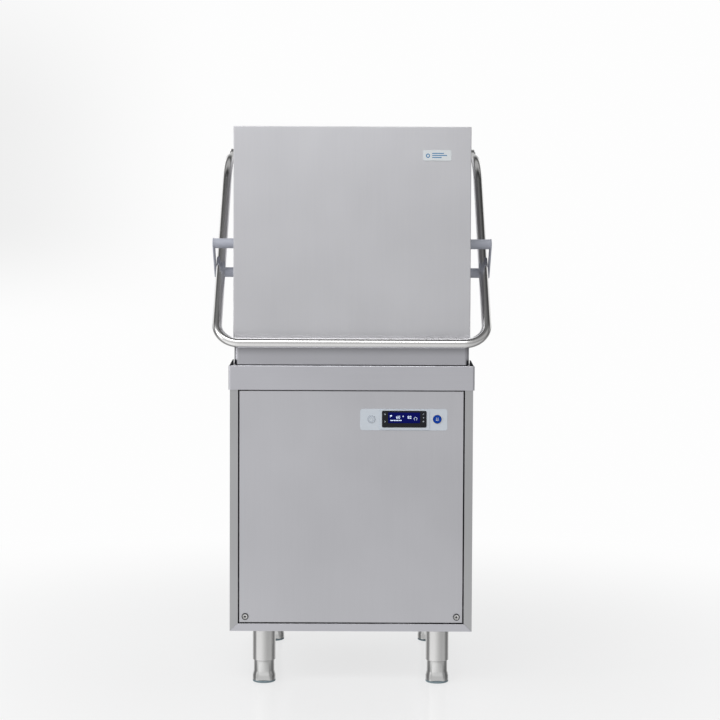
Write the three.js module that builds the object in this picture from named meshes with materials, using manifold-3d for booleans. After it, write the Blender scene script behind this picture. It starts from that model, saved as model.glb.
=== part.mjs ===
// Pass-through hood glass washer: a stainless cabinet on four adjustable feet, a wash chamber closed by a
// lifting hood, and a bent-tube lever that raises the hood.
// Millimetres. X to the right, Y to the rear, Z up. The origin is on the floor under the middle of the box.
import * as THREE from "three";
import { mergeVertices } from "three/addons/utils/BufferGeometryUtils.js";
import Module from "manifold-3d";

const wasm = await Module();
wasm.setup();

// ---- driving dimensions ----
const GAP = 0.3; // kept between two pieces that rest on each other
const SHEET = 1.2; // thickness of the folded steel sheets

const BODY = { x: 314, front: -330, rear: 290, z0: 142, z1: 800 };
const STILE = 21; // width of the side panels' front returns
const RAIL = 19.5; // height of the base frame's front rail
const PANEL = { x: 289, z0: 165.5, z1: 766, y: -331, depth: 18 };
const RIM = { x: 317.5, front: -335, rear: 293, z0: 769, z1: 832, wall: 1.5 };
const WELL = { x: 268, front: -290, rear: 222 }; // opening of the worktop above the tank
const TANK_FLOOR = 592;
const CHAMBER_Y = -34; // centre line of the rack and of the wash arms
const SUMP = { x: 130, y: -160, r: 78, z0: 562 };
const SUCTION = { x: -130, y: -120, r: 34 }; // outlet in the tank floor, above the wash pump

const HOOD = { x: 306, front: -321, rear: 264, z0: 834, z1: 1447, jacketZ0: 888 };
const JACKET_WALL = 1;
const SKIN_GAP = 2; // from the jacket's outside to the shell's outside
const SPLASH_TOP = 1432;

const COLUMN = { x: 270, front: 272, lowFront: 293.5, rear: 371.7, z0: 330, z1: 1452 };
const COVER_REAR = 374.85; // back of the dished cover, the rearmost face of the machine
const RAIL_BOX = { x0: 270.3, x1: 317.7, front: 277, rear: 317, z1: 1400 };
const CARRIAGE_X = 296;

const PIVOT = { y: 300, z: 1429.7 };
const LEVER = { x: 347.5, r: 12.5, wall: 1.6, barY: -362.5, barZ: 890.7, elbowY: 38.5, elbowZ: 1389.3 };
const SHAFT_R = 10;
const STUD = { r: 13, upY: -230, upZ: 1149.2, lowY: -168, lowZ: 1074.4, plate0: 362.6, plate1: 367 };

const LEG = { x: 227, frontY: -280, rearY: 238, r: 30, z0: 59 };
const FASCIA = { x0: 22.4, x1: 247.8, z0: 665.4, z1: 720.7, y: -333.6 };
const POWER = { x: 51.3, z: 694.6, r: 9.3 };
const START = { x: 221.3, z: 694.6, r: 10.8 };
const PANEL_SCREW = { x: 274, z: 180, r: 8.4 };
const SCREEN = { x0: 94.8, x1: 176.7, z0: 684.5, z1: 711.7 };
const PUMP = { x: -85, y: CHAMBER_Y, z: 400 };
const BOILER = { x: 170, y: 130, r: 96, wall: 2.5 };
const SPRING = { x: 120, y: 355, r: 16, wire: 5, z0: 505, z1: 1395 };

// ---- materials ----
const material = (color, roughness, metalness) =>
  new THREE.MeshStandardMaterial({ color, roughness, metalness });
const STEEL = [0xb9bbbb, 0.34, 0.95];
const PALE_STEEL = [0xc6c8c9, 0.4, 0.9];
const TUBE_STEEL = [0xb0b1b0, 0.22, 1.0];
const GREY_PLASTIC = [0x9aa2aa, 0.5, 0.0];
const FASCIA_GREY = [0xd0d7dc, 0.45, 0.0];
const BLACK = [0x15171a, 0.4, 0.0];
const RUBBER = [0x8b949b, 0.75, 0.0];
const BLUE = [0x1565c8, 0.35, 0.0];
const WHITE = [0xe9edf0, 0.45, 0.0];
const DARK_METAL = [0x4a4d50, 0.5, 0.6];
const BOARD_GREEN = [0x1f5a36, 0.5, 0.1];
const DISPLAY_BLUE = [0x0a1a9a, 0.2, 0.0];

// ---- shape helpers ----
const root = new THREE.Group();

function solid(geometry) {
  const bare = geometry.index ? geometry.toNonIndexed() : geometry.clone();
  bare.deleteAttribute("normal");
  bare.deleteAttribute("uv");
  const merged = mergeVertices(bare, 1e-3);
  return new wasm.Manifold(
    new wasm.Mesh({
      numProp: 3,
      vertProperties: merged.attributes.position.array,
      triVerts: new Uint32Array(merged.index.array),
    }),
  );
}

function geometryOf(manifold) {
  const mesh = manifold.getMesh();
  const geometry = new THREE.BufferGeometry();
  geometry.setAttribute("position", new THREE.BufferAttribute(new Float32Array(mesh.vertProperties), 3));
  geometry.setIndex(new THREE.BufferAttribute(new Uint32Array(mesh.triVerts), 1));
  geometry.computeVertexNormals();
  return geometry;
}

// A box from its lowest to its highest corner.
function block(x0, x1, y0, y1, z0, z1) {
  const box = new THREE.BoxGeometry(x1 - x0, y1 - y0, z1 - z0);
  return solid(box.translate((x0 + x1) / 2, (y0 + y1) / 2, (z0 + z1) / 2));
}

// A round bar along an axis, from a to b on that axis, centred on the other two coordinates.
function rod(axis, r, a, b, u, v, sides = 20) {
  const bar = new THREE.CylinderGeometry(r, r, b - a, sides);
  const middle = (a + b) / 2;
  if (axis === "x") return solid(bar.rotateZ(Math.PI / 2).translate(middle, u, v));
  if (axis === "y") return solid(bar.translate(u, middle, v));
  return solid(bar.rotateX(Math.PI / 2).translate(u, v, middle));
}

// A turned piece about a vertical axis through (x, y); the profile lists [radius, height].
function turned(profile, x, y, sides = 20) {
  const points = profile.map(([r, z]) => new THREE.Vector2(r, z));
  return solid(new THREE.LatheGeometry(points, sides).rotateX(Math.PI / 2).translate(x, y, 0));
}

const union = (first, ...others) => others.reduce((sum, s) => sum.add(s), first);
const cut = (first, ...others) => others.reduce((rest, s) => rest.subtract(s), first);

// A flat outline in X and Z, pushed along Y from y0 to y1.
function plateXZ(points, y0, y1) {
  const shape = new THREE.Shape(points.map(([x, z]) => new THREE.Vector2(x, z)));
  return solid(
    new THREE.ExtrudeGeometry(shape, { depth: y1 - y0, bevelEnabled: false })
      .rotateX(Math.PI / 2)
      .translate(0, y1, 0),
  );
}

function roundedRect(x0, x1, z0, z1, r) {
  const shape = new THREE.Shape();
  shape.moveTo(x0 + r, z0);
  shape.lineTo(x1 - r, z0);
  shape.absarc(x1 - r, z0 + r, r, -Math.PI / 2, 0, false);
  shape.lineTo(x1, z1 - r);
  shape.absarc(x1 - r, z1 - r, r, 0, Math.PI / 2, false);
  shape.lineTo(x0 + r, z1);
  shape.absarc(x0 + r, z1 - r, r, Math.PI / 2, Math.PI, false);
  shape.lineTo(x0, z0 + r);
  shape.absarc(x0 + r, z0 + r, r, Math.PI, 1.5 * Math.PI, false);
  return shape;
}

function roundedPlate(x0, x1, z0, z1, r, y0, y1, curveSegments = 4) {
  return solid(
    new THREE.ExtrudeGeometry(roundedRect(x0, x1, z0, z1, r), {
      depth: y1 - y0,
      bevelEnabled: false,
      curveSegments,
    })
      .rotateX(Math.PI / 2)
      .translate(0, y1, 0),
  );
}

// A centre line of straight runs joined by round bends; one step per straight run, several per bend.
class BentLine extends THREE.Curve {
  constructor(corners, radii, steps) {
    super();
    const points = corners.map((c) => new THREE.Vector3(...c));
    this.stations = [points[0]];
    for (let i = 1; i < points.length - 1; i++) {
      const toBack = points[i - 1].clone().sub(points[i]).normalize();
      const toNext = points[i + 1].clone().sub(points[i]).normalize();
      const half = toBack.angleTo(toNext) / 2;
      const radius = radii[i - 1];
      const reach = radius / Math.tan(half);
      const middle = toBack.clone().add(toNext).normalize();
      const centre = points[i].clone().addScaledVector(middle, radius / Math.sin(half));
      const from = points[i].clone().addScaledVector(toBack, reach).sub(centre);
      const to = points[i].clone().addScaledVector(toNext, reach).sub(centre);
      const spin = from.clone().cross(to).normalize();
      const sweep = from.angleTo(to);
      for (let k = 0; k <= steps; k++) {
        const arm = from.clone().applyAxisAngle(spin, (sweep * k) / steps);
        this.stations.push(arm.add(centre));
      }
    }
    this.stations.push(points[points.length - 1]);
  }
  getPoint(t, target = new THREE.Vector3()) {
    const place = Math.min(Math.max(t, 0), 1) * (this.stations.length - 1);
    const i = Math.min(Math.floor(place), this.stations.length - 2);
    return target.lerpVectors(this.stations[i], this.stations[i + 1], place - i);
  }
  getUtoTmapping(u) {
    return u;
  }
}

// A pipe of outer radius r, open through its middle where a wall is given.
function pipe(corners, radii, r, wall = 0, sides = 12, steps = 6) {
  const line = new BentLine(corners, radii, steps);
  const ring = (radius) =>
    Array.from({ length: sides }, (_, k) => {
      const a = (2 * Math.PI * k) / sides;
      return new THREE.Vector2(radius * Math.cos(a), radius * Math.sin(a));
    });
  const section = new THREE.Shape(ring(r));
  if (wall) section.holes.push(new THREE.Path(ring(r - wall)));
  return solid(
    new THREE.ExtrudeGeometry(section, { steps: line.stations.length - 1, extrudePath: line }),
  );
}

function piece(name, shape, look) {
  const geometry = geometryOf(shape);
  const mesh = new THREE.Mesh(geometry, material(...look));
  mesh.name = name;
  root.add(mesh);
}

const SIDES = [
  ["left", -1],
  ["right", 1],
];
// A block given for the right side, or its mirror image on the left.
const sided = (s, x0, x1, y0, y1, z0, z1) =>
  s > 0 ? block(x0, x1, y0, y1, z0, z1) : block(-x1, -x0, y0, y1, z0, z1);

// ---- base frame, cabinet panels ----
{
  const b = BODY;
  const inside = b.x - SHEET - GAP;
  const tray = cut(
    block(-inside, inside, b.front + SHEET, b.rear - SHEET - GAP, b.z0, b.z0 + RAIL),
    block(-inside + SHEET, inside - SHEET, b.front + 4, b.rear - 4, b.z0 + SHEET, b.z0 + RAIL + 1),
    block(-170, 170, -200, 170, b.z0 - 1, b.z0 + 3),
  );
  const corner = b.x - 0.5;
  const frontRail = plateXZ(
    [
      [-corner, b.z0],
      [corner, b.z0],
      [corner - RAIL, b.z0 + RAIL],
      [-corner + RAIL, b.z0 + RAIL],
    ],
    b.front,
    b.front + SHEET,
  );
  piece("base_frame", union(tray, frontRail), STEEL);

  for (const [side, s] of SIDES) {
    const notch = sided(s, b.x - 3, b.x + 1, b.front - 1, b.front + SHEET + GAP, b.z0 - 1, b.z0 + 3);
    const sheet = cut(sided(s, b.x - SHEET, b.x, b.front, b.rear, b.z0, b.z1), notch);
    const outline = [
      [s * b.x, b.z0],
      [s * b.x, b.z1],
      [s * (b.x - STILE), b.z1],
      [s * (b.x - STILE), b.z0 + STILE],
    ];
    const stile = plateXZ(s > 0 ? outline : outline.reverse(), b.front, b.front + SHEET);
    const returnLip = sided(s, b.x - STILE, b.x - STILE + SHEET, b.front, b.front + 18, b.z0 + 30, b.z1);
    const rearLip = sided(s, b.x - STILE, b.x, b.rear - SHEET, b.rear, b.z0 + 30, 760);
    piece(`${side}_side_panel`, union(sheet, stile, returnLip, rearLip), STEEL);
  }

  const rearX = b.x - STILE - 1;
  const louvres = Array.from({ length: 6 }, (_, i) =>
    block(-120, 120, b.rear - 9, b.rear + 9, 620 + 18 * i, 628 + 18 * i),
  );
  piece("rear_panel", cut(block(-rearX, rearX, b.rear - SHEET, b.rear, 163, 764), ...louvres), STEEL);

  const p = PANEL;
  const pan = cut(
    block(-p.x, p.x, p.y, p.y + p.depth, p.z0, p.z1),
    block(-p.x + SHEET, p.x - SHEET, p.y + SHEET, p.y + p.depth + 1, p.z0 + SHEET, p.z1 - SHEET),
    rod("y", POWER.r + 1.2, p.y - 5, p.y + 9, POWER.x, POWER.z),
    rod("y", START.r + 1.2, p.y - 5, p.y + 9, START.x, START.z),
    block(90, 182, p.y - 5, p.y + 9, 684, 712),
    ...SIDES.map(([, s]) => rod("y", 4.4, p.y - 5, p.y + 9, PANEL_SCREW.x * s, PANEL_SCREW.z)),
  );
  piece("front_panel", pan, PALE_STEEL);
  for (const [side, s] of SIDES) {
    const x = PANEL_SCREW.x * s;
    const z = PANEL_SCREW.z;
    const head = rod("y", PANEL_SCREW.r, p.y - 3.2, p.y - GAP, x, z, 20);
    const slot = block(x - 5, x + 5, p.y - 4, p.y - 2, z - 1, z + 1);
    const shank = rod("y", 4, p.y - 0.5, p.y + 16, x, z, 12);
    piece(`panel_screw_${side}`, union(cut(head, slot), shank), TUBE_STEEL);
  }
}

// ---- worktop with its folded rim, tank and what sits in it ----
{
  const r = RIM;
  const slab = block(-r.x, r.x, r.front, r.rear, r.z0, r.z1);
  const w = r.wall;
  const hollow = block(-r.x + w, r.x - w, r.front + w, r.rear - w, r.z0 - 1, r.z1 - w);
  const well = block(-WELL.x, WELL.x, WELL.front, WELL.rear, r.z1 - 9, r.z1 + 9);
  const riserHole = rod("z", 19, r.z1 - 9, r.z1 + 9, 0, 245);
  const lip = cut(
    block(-WELL.x - w, WELL.x + w, WELL.front - w, WELL.rear + w, r.z1 - 12, r.z1 - 1),
    block(-WELL.x, WELL.x, WELL.front, WELL.rear, r.z1 - 20, r.z1 + 9),
  );
  piece("worktop", union(cut(slab, hollow, well, riserHole), lip), STEEL);

  for (const [side, s] of SIDES) {
    const inner = (HOOD.x + 0.8) * s;
    const outer = (RIM.x - 2.5) * s;
    const outline = [
      [inner, r.z1 + GAP],
      [outer, r.z1 + GAP],
      [inner, r.z1 + 15],
    ];
    const wedge = plateXZ(s > 0 ? outline : outline.reverse(), r.front + 4, r.front + 44);
    piece(`corner_wedge_${side}`, wedge, BLACK);
  }

  const t = { x: WELL.x - 0.5, front: WELL.front + 0.5, rear: WELL.rear - 0.5 };
  const top = r.z1 - 13;
  const tankBox = block(
    -t.x - SHEET,
    t.x + SHEET,
    t.front - SHEET,
    t.rear + SHEET,
    TANK_FLOOR,
    top,
  );
  const tank = cut(
    union(tankBox, rod("z", SUMP.r, SUMP.z0, TANK_FLOOR + 1, SUMP.x, SUMP.y)),
    block(-t.x, t.x, t.front, t.rear, TANK_FLOOR + SHEET, top + 9),
    rod("z", SUMP.r - SHEET, SUMP.z0 + SHEET, TANK_FLOOR + 9, SUMP.x, SUMP.y),
    rod("z", 16.5, SUMP.z0 - 9, SUMP.z0 + 9, SUMP.x, SUMP.y),
    rod("z", 23, TANK_FLOOR - 9, TANK_FLOOR + 9, 0, CHAMBER_Y),
    rod("z", SUCTION.r, TANK_FLOOR - 9, TANK_FLOOR + 9, SUCTION.x, SUCTION.y),
  );
  piece("wash_tank", tank, STEEL);

  const pipeHole = rod("z", 30, 750, 770, 0, CHAMBER_Y);
  const basketHole = rod("z", 66, 750, 770, SUMP.x, SUMP.y);
  const slots = [];
  for (let row = 0; row < 7; row++) {
    for (const x of [-190, -85, 85, 190]) {
      const y = -254 + 74 * row;
      const nearBasket = Math.hypot(x - SUMP.x, y - SUMP.y) < 124;
      const nearPipe = Math.hypot(x, y - CHAMBER_Y) < 60;
      if (!nearBasket && !nearPipe) slots.push(block(x - 44, x + 44, y - 7, y + 7, 750, 770));
    }
  }
  const filter = cut(
    block(-t.x + 3, t.x - 3, t.front + 3, t.rear - 3, 758, 772),
    block(-t.x + 4.2, t.x - 4.2, t.front + 4.2, t.rear - 4.2, 759.2, 780),
    pipeHole,
    basketHole,
    ...slots,
  );
  piece("tank_filter", filter, STEEL);
  const basket = [
    [20, 600],
    [58, 600],
    [58, 774],
    [72, 774],
    [72, 775.5],
    [56.5, 775.5],
    [56.5, 601.5],
    [20, 601.5],
    [20, 600],
  ];
  piece("sump_filter", turned(basket, SUMP.x, SUMP.y), STEEL);
  const overflow = [
    [12, 566],
    [15, 566],
    [15, 738],
    [19, 738],
    [19, 748],
    [12, 748],
    [12, 566],
  ];
  piece("overflow_pipe", turned(overflow, SUMP.x, SUMP.y, 16), GREY_PLASTIC);

  const elementZ = 622;
  const ends = [-200, -60];
  const heater = pipe(
    [
      [ends[0], 200, elementZ],
      [ends[0], -230, elementZ],
      [ends[1], -230, elementZ],
      [ends[1], 200, elementZ],
    ],
    [40, 40],
    5,
    0,
    8,
  );
  const tails = ends.map((x) => rod("y", 5, 190, 208, x, elementZ, 8));
  const flange = block(-220, -40, 205, 211, 606, 640);
  piece("tank_element", union(heater, flange, ...tails), TUBE_STEEL);
}

// ---- rack guide, spray arms and the pipes that feed them ----
{
  const y = CHAMBER_Y;
  const railOf = (s) => {
    const outer = y + s * 256;
    const inner = y + s * 232;
    const [a, b] = outer < inner ? [outer, inner] : [inner, outer];
    const wallFrom = s > 0 ? outer - 2.5 : outer;
    return union(
      block(-298, 298, a, b, 860, 862.5),
      block(-298, 298, wallFrom, wallFrom + 2.5, 834, 884),
    );
  };
  const ties = [-262, 262].map((x) => block(x - 4, x + 4, y - 256, y + 256, 846, 854));
  const feet = [-262, 262].map((x) => block(x - 4, x + 4, y - 254, y + 254, 851, 860.5));
  piece("rack_guide", union(railOf(1), railOf(-1), ...ties, ...feet), STEEL);

  // A spray arm seen from above: a hub with two blades that end in half rounds.
  const arm = (reach, half, hub, bore, z0, z1) => {
    const blade = new THREE.Shape();
    blade.moveTo(-reach + half, -half);
    blade.lineTo(reach - half, -half);
    blade.absarc(reach - half, 0, half, -Math.PI / 2, Math.PI / 2, false);
    blade.lineTo(-reach + half, half);
    blade.absarc(-reach + half, 0, half, Math.PI / 2, 1.5 * Math.PI, false);
    const flat = { depth: z1 - z0, bevelEnabled: false, curveSegments: 6 };
    const bar = solid(new THREE.ExtrudeGeometry(blade, flat).translate(0, y, z0));
    return cut(union(bar, rod("z", hub, z0, z1, 0, y)), rod("z", bore, z0 - 5, z1 + 5, 0, y, 16));
  };
  const nozzles = (reach, z0, z1) =>
    [-0.88, -0.62, -0.36, 0.36, 0.62, 0.88].map((part) => {
      const x = part * reach;
      return block(x - 9, x + 9, y - 1.5, y + 1.5, z0, z1);
    });
  // From its root to its cap: a thick stem, a collar below the arms, a journal and the cap.
  const spindle = (root, collar, cap, tip, way) => [
    [0, root],
    [22, root],
    [22, collar],
    [32, collar],
    [32, collar + way * 5],
    [18, collar + way * 5],
    [18, cap],
    [26, cap],
    [26, tip],
    [0, tip],
  ];
  const WASH = { reach: 235, half: 24, hub: 40 };
  const RINSE = { reach: 228, half: 13, hub: 33 };
  const BORE = 19;
  const sprayArm = (size, z0, z1, slotZ0, slotZ1) =>
    cut(
      arm(size.reach, size.half, size.hub, BORE, z0, z1),
      ...nozzles(size.reach, slotZ0, slotZ1),
    );
  piece("lower_spindle", turned(spindle(576, 783, 840, 852, 1), 0, y, 16), GREY_PLASTIC);
  piece("lower_wash_arm", sprayArm(WASH, 794, 814, 809, 820), STEEL);
  piece("lower_rinse_arm", sprayArm(RINSE, 822, 834, 831, 840), TUBE_STEEL);
  const hung = spindle(1374.6, 1366, 1304, 1292, -1).reverse();
  piece("upper_spindle", turned(hung, 0, y, 16), GREY_PLASTIC);
  piece("upper_wash_arm", sprayArm(WASH, 1334, 1354, 1328, 1339), STEEL);
  piece("upper_rinse_arm", sprayArm(RINSE, 1312, 1324, 1306, 1315), TUBE_STEEL);

  const riser = pipe(
    [
      [PUMP.x, y, 482],
      [PUMP.x, y, 545],
      [0, y, 545],
      [0, 245, 545],
      [0, 245, 1392],
      [0, y - 2, 1392],
    ],
    [30, 36, 40, 44],
    17,
    2,
    10,
    4,
  );
  piece("wash_riser", cut(riser, block(-40, 40, 261.8, 300, 500, 1500)), TUBE_STEEL);
  const splash = cut(
    block(-286, 286, HOOD.rear - SHEET, HOOD.rear, RIM.z1 + 1, SPLASH_TOP),
    block(-256, -226, 250, 280, 1300, 1330),
  );
  piece("splash_back", splash, STEEL);
}

// ---- machinery under the tank ----
{
  const p = PUMP;
  const chamber = cut(
    union(
      rod("x", 74, p.x - 32, p.x + 32, p.y, p.z, 20),
      rod("z", 22, p.z + 50, 481.5, p.x, p.y, 16),
      rod("x", 26, p.x + 30, p.x + 60, p.y, p.z, 20),
    ),
    rod("x", 66, p.x - 26, p.x + 26, p.y, p.z, 20),
    rod("z", 17, p.z + 40, 500, p.x, p.y, 16),
    rod("x", 21, p.x, p.x + 80, p.y, p.z, 20),
    rod("x", 12, p.x - 60, p.x, p.y, p.z, 16),
  );
  piece("pump_volute", chamber, GREY_PLASTIC);
  const vanes = [0, 1, 2, 3, 4, 5].map((k) =>
    solid(
      new THREE.BoxGeometry(16, 40, 4)
        .translate(0, 36, 0)
        .rotateX((k * Math.PI) / 3)
        .translate(p.x + 2, p.y, p.z),
    ),
  );
  const wheel = union(
    rod("x", 60, p.x - 12, p.x - 6, p.y, p.z, 20),
    rod("x", 18, p.x - 12, p.x + 12, p.y, p.z, 16),
    rod("x", 8, p.x - 190, p.x, p.y, p.z, 12),
    ...vanes,
  );
  piece("pump_impeller", wheel, TUBE_STEEL);
  const fins = [-162, -136, -110, -84].map((from) =>
    rod("x", 63, p.x + from, p.x + from + 9, p.y, p.z, 16),
  );
  const foot = block(p.x - 150, p.x - 90, p.y - 40, p.y + 40, p.z - 78, p.z - 20);
  const motor = cut(
    union(rod("x", 56, p.x - 182, p.x - 33, p.y, p.z, 16), ...fins, foot),
    rod("x", 10, p.x - 300, p.x, p.y, p.z, 12),
  );
  piece("pump_motor", motor, DARK_METAL);

  const k = BOILER;
  const vessel = (inset) =>
    turned(
      [
        [0, 196 + inset],
        [70, 200 + inset],
        [k.r - inset, 216 + inset],
        [k.r - inset, 516 - inset],
        [70, 532 - inset],
        [0, 536 - inset],
      ],
      k.x,
      k.y,
    );
  const shellWithOutlet = union(vessel(0), rod("z", 12, 530, 556, k.x, k.y, 12));
  const boiler = union(
    cut(shellWithOutlet, vessel(k.wall), rod("z", 9, 520, 560, k.x, k.y, 12)),
    rod("y", 26, 20, 60, k.x, 260, 16),
    block(k.x - 60, k.x + 60, k.y - 20, k.y + 20, 163, 197),
  );
  piece("rinse_boiler", boiler, STEEL);
  const drainX = -215;
  const drain = union(
    rod("z", 42, 190, 232, drainX, 190),
    rod("z", 30, 230, 300, drainX, 190),
    rod("y", 13, 225, 262, drainX, 212, 12),
    block(drainX - 40, drainX + 40, 165, 215, 163, 192),
  );
  piece("drain_pump", drain, BLACK);
  const heads = [-250, -190].map((x) => rod("y", 24, -292, -262, x, 300));
  piece("doser_unit", union(block(-282, -158, -264, -190, 240, 360), ...heads), WHITE);
  const box = cut(
    block(60, 286, -292, -170, 200, 520),
    block(60 + SHEET, 286 - SHEET, -300, -170 - SHEET, 200 + SHEET, 520 - SHEET),
    block(200, 260, -180, -160, 230, 260),
  );
  piece("electrical_box", box, PALE_STEEL);
  piece(
    "control_board",
    union(
      block(36, 236, -312, -310, 668, 718),
      rod("y", 4, -327.5, -311, POWER.x, POWER.z, 10),
      rod("y", 4, -327.5, -311, START.x, START.z, 10),
      block(96, 176, -327, -311, 686, 710),
    ),
    BOARD_GREEN,
  );
}

// ---- control fascia ----
{
  const f = FASCIA;
  const back = PANEL.y - GAP;
  const plate = cut(
    union(
      roundedPlate(f.x0, f.x1, f.z0, f.z1, 6, f.y, back),
      roundedPlate(72.8, 201.2, f.z0 + 1.5, f.z1 - 1.5, 5, f.y - 1.4, f.y + 1),
    ),
    rod("y", POWER.r + 0.5, -350, -320, POWER.x, POWER.z, 24),
    rod("y", START.r + 0.5, -350, -320, START.x, START.z, 24),
    block(96, 176, -350, -320, 687, 709),
  );
  piece("control_fascia", plate, FASCIA_GREY);
  const c = SCREEN;
  const bezelFront = f.y - 2.9;
  const bezel = cut(
    roundedPlate(78.6, 193.8, 673.2, 716.2, 3.5, bezelFront, f.y - 1.4 - GAP),
    block(c.x0 - 0.5, c.x1 + 0.5, -350, -320, c.z0 - 0.5, c.z1 + 0.5),
  );
  piece("display_bezel", bezel, BLACK);
  const glass = block(c.x0, c.x1, bezelFront + 0.4, f.y - 1.75, c.z0, c.z1);
  const moduleBack = block(97, 175, f.y - 2, -329, 688, 708);
  piece("display_screen", union(glass, moduleBack), DISPLAY_BLUE);
  const button = (place) =>
    union(
      rod("y", place.r, -336.2, -330.4, place.x, place.z, 24),
      rod("y", 3, -331, -329.4, place.x, place.z, 12),
    );
  piece("power_button", button(POWER), FASCIA_GREY);
  piece("start_button", button(START), BLUE);
}

// ---- legs with their adjustable feet ----
{
  const places = [
    ["front_left", -1, LEG.frontY],
    ["front_right", 1, LEG.frontY],
    ["rear_left", -1, LEG.rearY],
    ["rear_right", 1, LEG.rearY],
  ];
  for (const [name, s, y] of places) {
    const x = LEG.x * s;
    const top = BODY.z0 - GAP;
    const bore = LEG.r - 2.4;
    const tube = [
      [bore, LEG.z0],
      [LEG.r, LEG.z0],
      [LEG.r, top - 3],
      [38, top - 3],
      [38, top],
      [0, top],
      [0, top - 3],
      [bore, top - 3],
      [bore, LEG.z0],
    ];
    piece(`leg_${name}`, turned(tube, x, y), TUBE_STEEL);
    const stem = bore - 0.6;
    const foot = [
      [0, 0],
      [stem, 0],
      [LEG.r, 3],
      [LEG.r, 12],
      [stem, 30],
      [stem, 92],
      [stem - 3, 95],
      [0, 95],
    ];
    piece(`foot_${name}`, turned(foot, x, y), RUBBER);
  }
}

// ---- rear column with guides, counterbalance springs and lever shaft ----
{
  const c = COLUMN;
  const housing = union(
    block(-c.x, c.x, c.front, c.rear, RIM.z1 + GAP, c.z1),
    block(-c.x, c.x, c.lowFront, c.rear, c.z0, RIM.z1 + 9),
  );
  const w = SHEET;
  const inner = union(
    block(-c.x + w, c.x - w, c.front + w, c.rear + 9, RIM.z1 + GAP + w, c.z1 - w),
    block(-c.x + w, c.x - w, c.lowFront + w, c.rear + 9, c.z0 + w, RIM.z1 + 9),
  );
  const bearing = rod("x", SHAFT_R + 0.6, -400, 400, PIVOT.y, PIVOT.z, 24);
  const ledge = block(-c.x + w / 2, c.x - w / 2, 340, c.rear, 470, 474);
  const hooks = [-1, 1].map((s) => rod("z", 9, 440, 500, s * SPRING.x, SPRING.y, 12));
  piece("rear_column", cut(union(cut(housing, inner), ledge), bearing, ...hooks), STEEL);
  const coverFront = c.rear + GAP;
  const cover = cut(
    block(-c.x, c.x, coverFront, COVER_REAR, c.z0, c.z1),
    block(-c.x + w, c.x - w, coverFront - 9, COVER_REAR - w, c.z0 + w, c.z1 - w),
  );
  piece("column_cover", cover, STEEL);
  for (const [side, s] of SIDES) {
    const g = RAIL_BOX;
    const channel = cut(
      sided(s, g.x0, g.x1, g.front, g.rear, RIM.z1 + GAP, g.z1),
      sided(s, g.x0 + 3, g.x1 - 3, g.front + 3, g.rear - 3, RIM.z1 - 9, g.z1 + 9),
      sided(s, CARRIAGE_X - 7, CARRIAGE_X + 7, g.front - 9, g.front + 9, RIM.z1 - 9, g.z1 + 9),
    );
    piece(`guide_rail_${side}`, channel, STEEL);
    const slider = sided(s, g.x0 + 4, g.x1 - 4, g.front + 4, g.rear - 4, 850, 960);
    const neck = sided(s, CARRIAGE_X - 6, CARRIAGE_X + 6, HOOD.rear + GAP, g.front + 9, 870, 940);
    const flange = sided(s, 290, 303.5, HOOD.rear + GAP, HOOD.rear + 5, 850, 960);
    piece(`hood_carriage_${side}`, union(slider, neck, flange), BLACK);
    const k = SPRING;
    const coil = [
      [k.r - k.wire, k.z0],
      [k.r, k.z0],
      [k.r, k.z1],
      [k.r - k.wire, k.z1],
      [k.r - k.wire, k.z0],
    ];
    piece(`spring_${side}`, turned(coil, k.x * s, k.y, 16), TUBE_STEEL);
  }
  const cranks = SIDES.map(([, s]) => {
    const x = SPRING.x * s;
    return union(
      block(x - 4, x + 4, PIVOT.y, 362, PIVOT.z - 9, PIVOT.z + 9),
      block(x - 4, x + 4, 350, 362, PIVOT.z - 30, PIVOT.z),
    );
  });
  const shaft = union(rod("x", SHAFT_R, -362, 362, PIVOT.y, PIVOT.z, 24), ...cranks);
  piece("pivot_shaft", shaft, TUBE_STEEL);
}

// ---- lifting lever ----
{
  const l = LEVER;
  const corners = [-1, 1].map((s) => [
    [s * l.x, PIVOT.y - 8, PIVOT.z - 1.2],
    [s * l.x, l.elbowY, l.elbowZ],
    [s * l.x, l.barY, l.barZ],
  ]);
  const line = [...corners[0], ...corners[1].slice().reverse()];
  const tube = pipe(line, [200, 60, 60, 200], l.r, l.wall, 12, 5);
  const eyes = [-1, 1].map((s) => rod("x", 17, s * l.x - 12, s * l.x + 12, PIVOT.y, PIVOT.z, 24));
  const bore = rod("x", SHAFT_R + 0.5, -400, 400, PIVOT.y, PIVOT.z, 24);
  const vents = [-1, 1].map((s) => rod("y", 6, 270, 296, s * l.x, PIVOT.z - 2, 12));
  piece("handle_tube", cut(union(tube, ...eyes), bore, ...vents), TUBE_STEEL);
}

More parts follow.
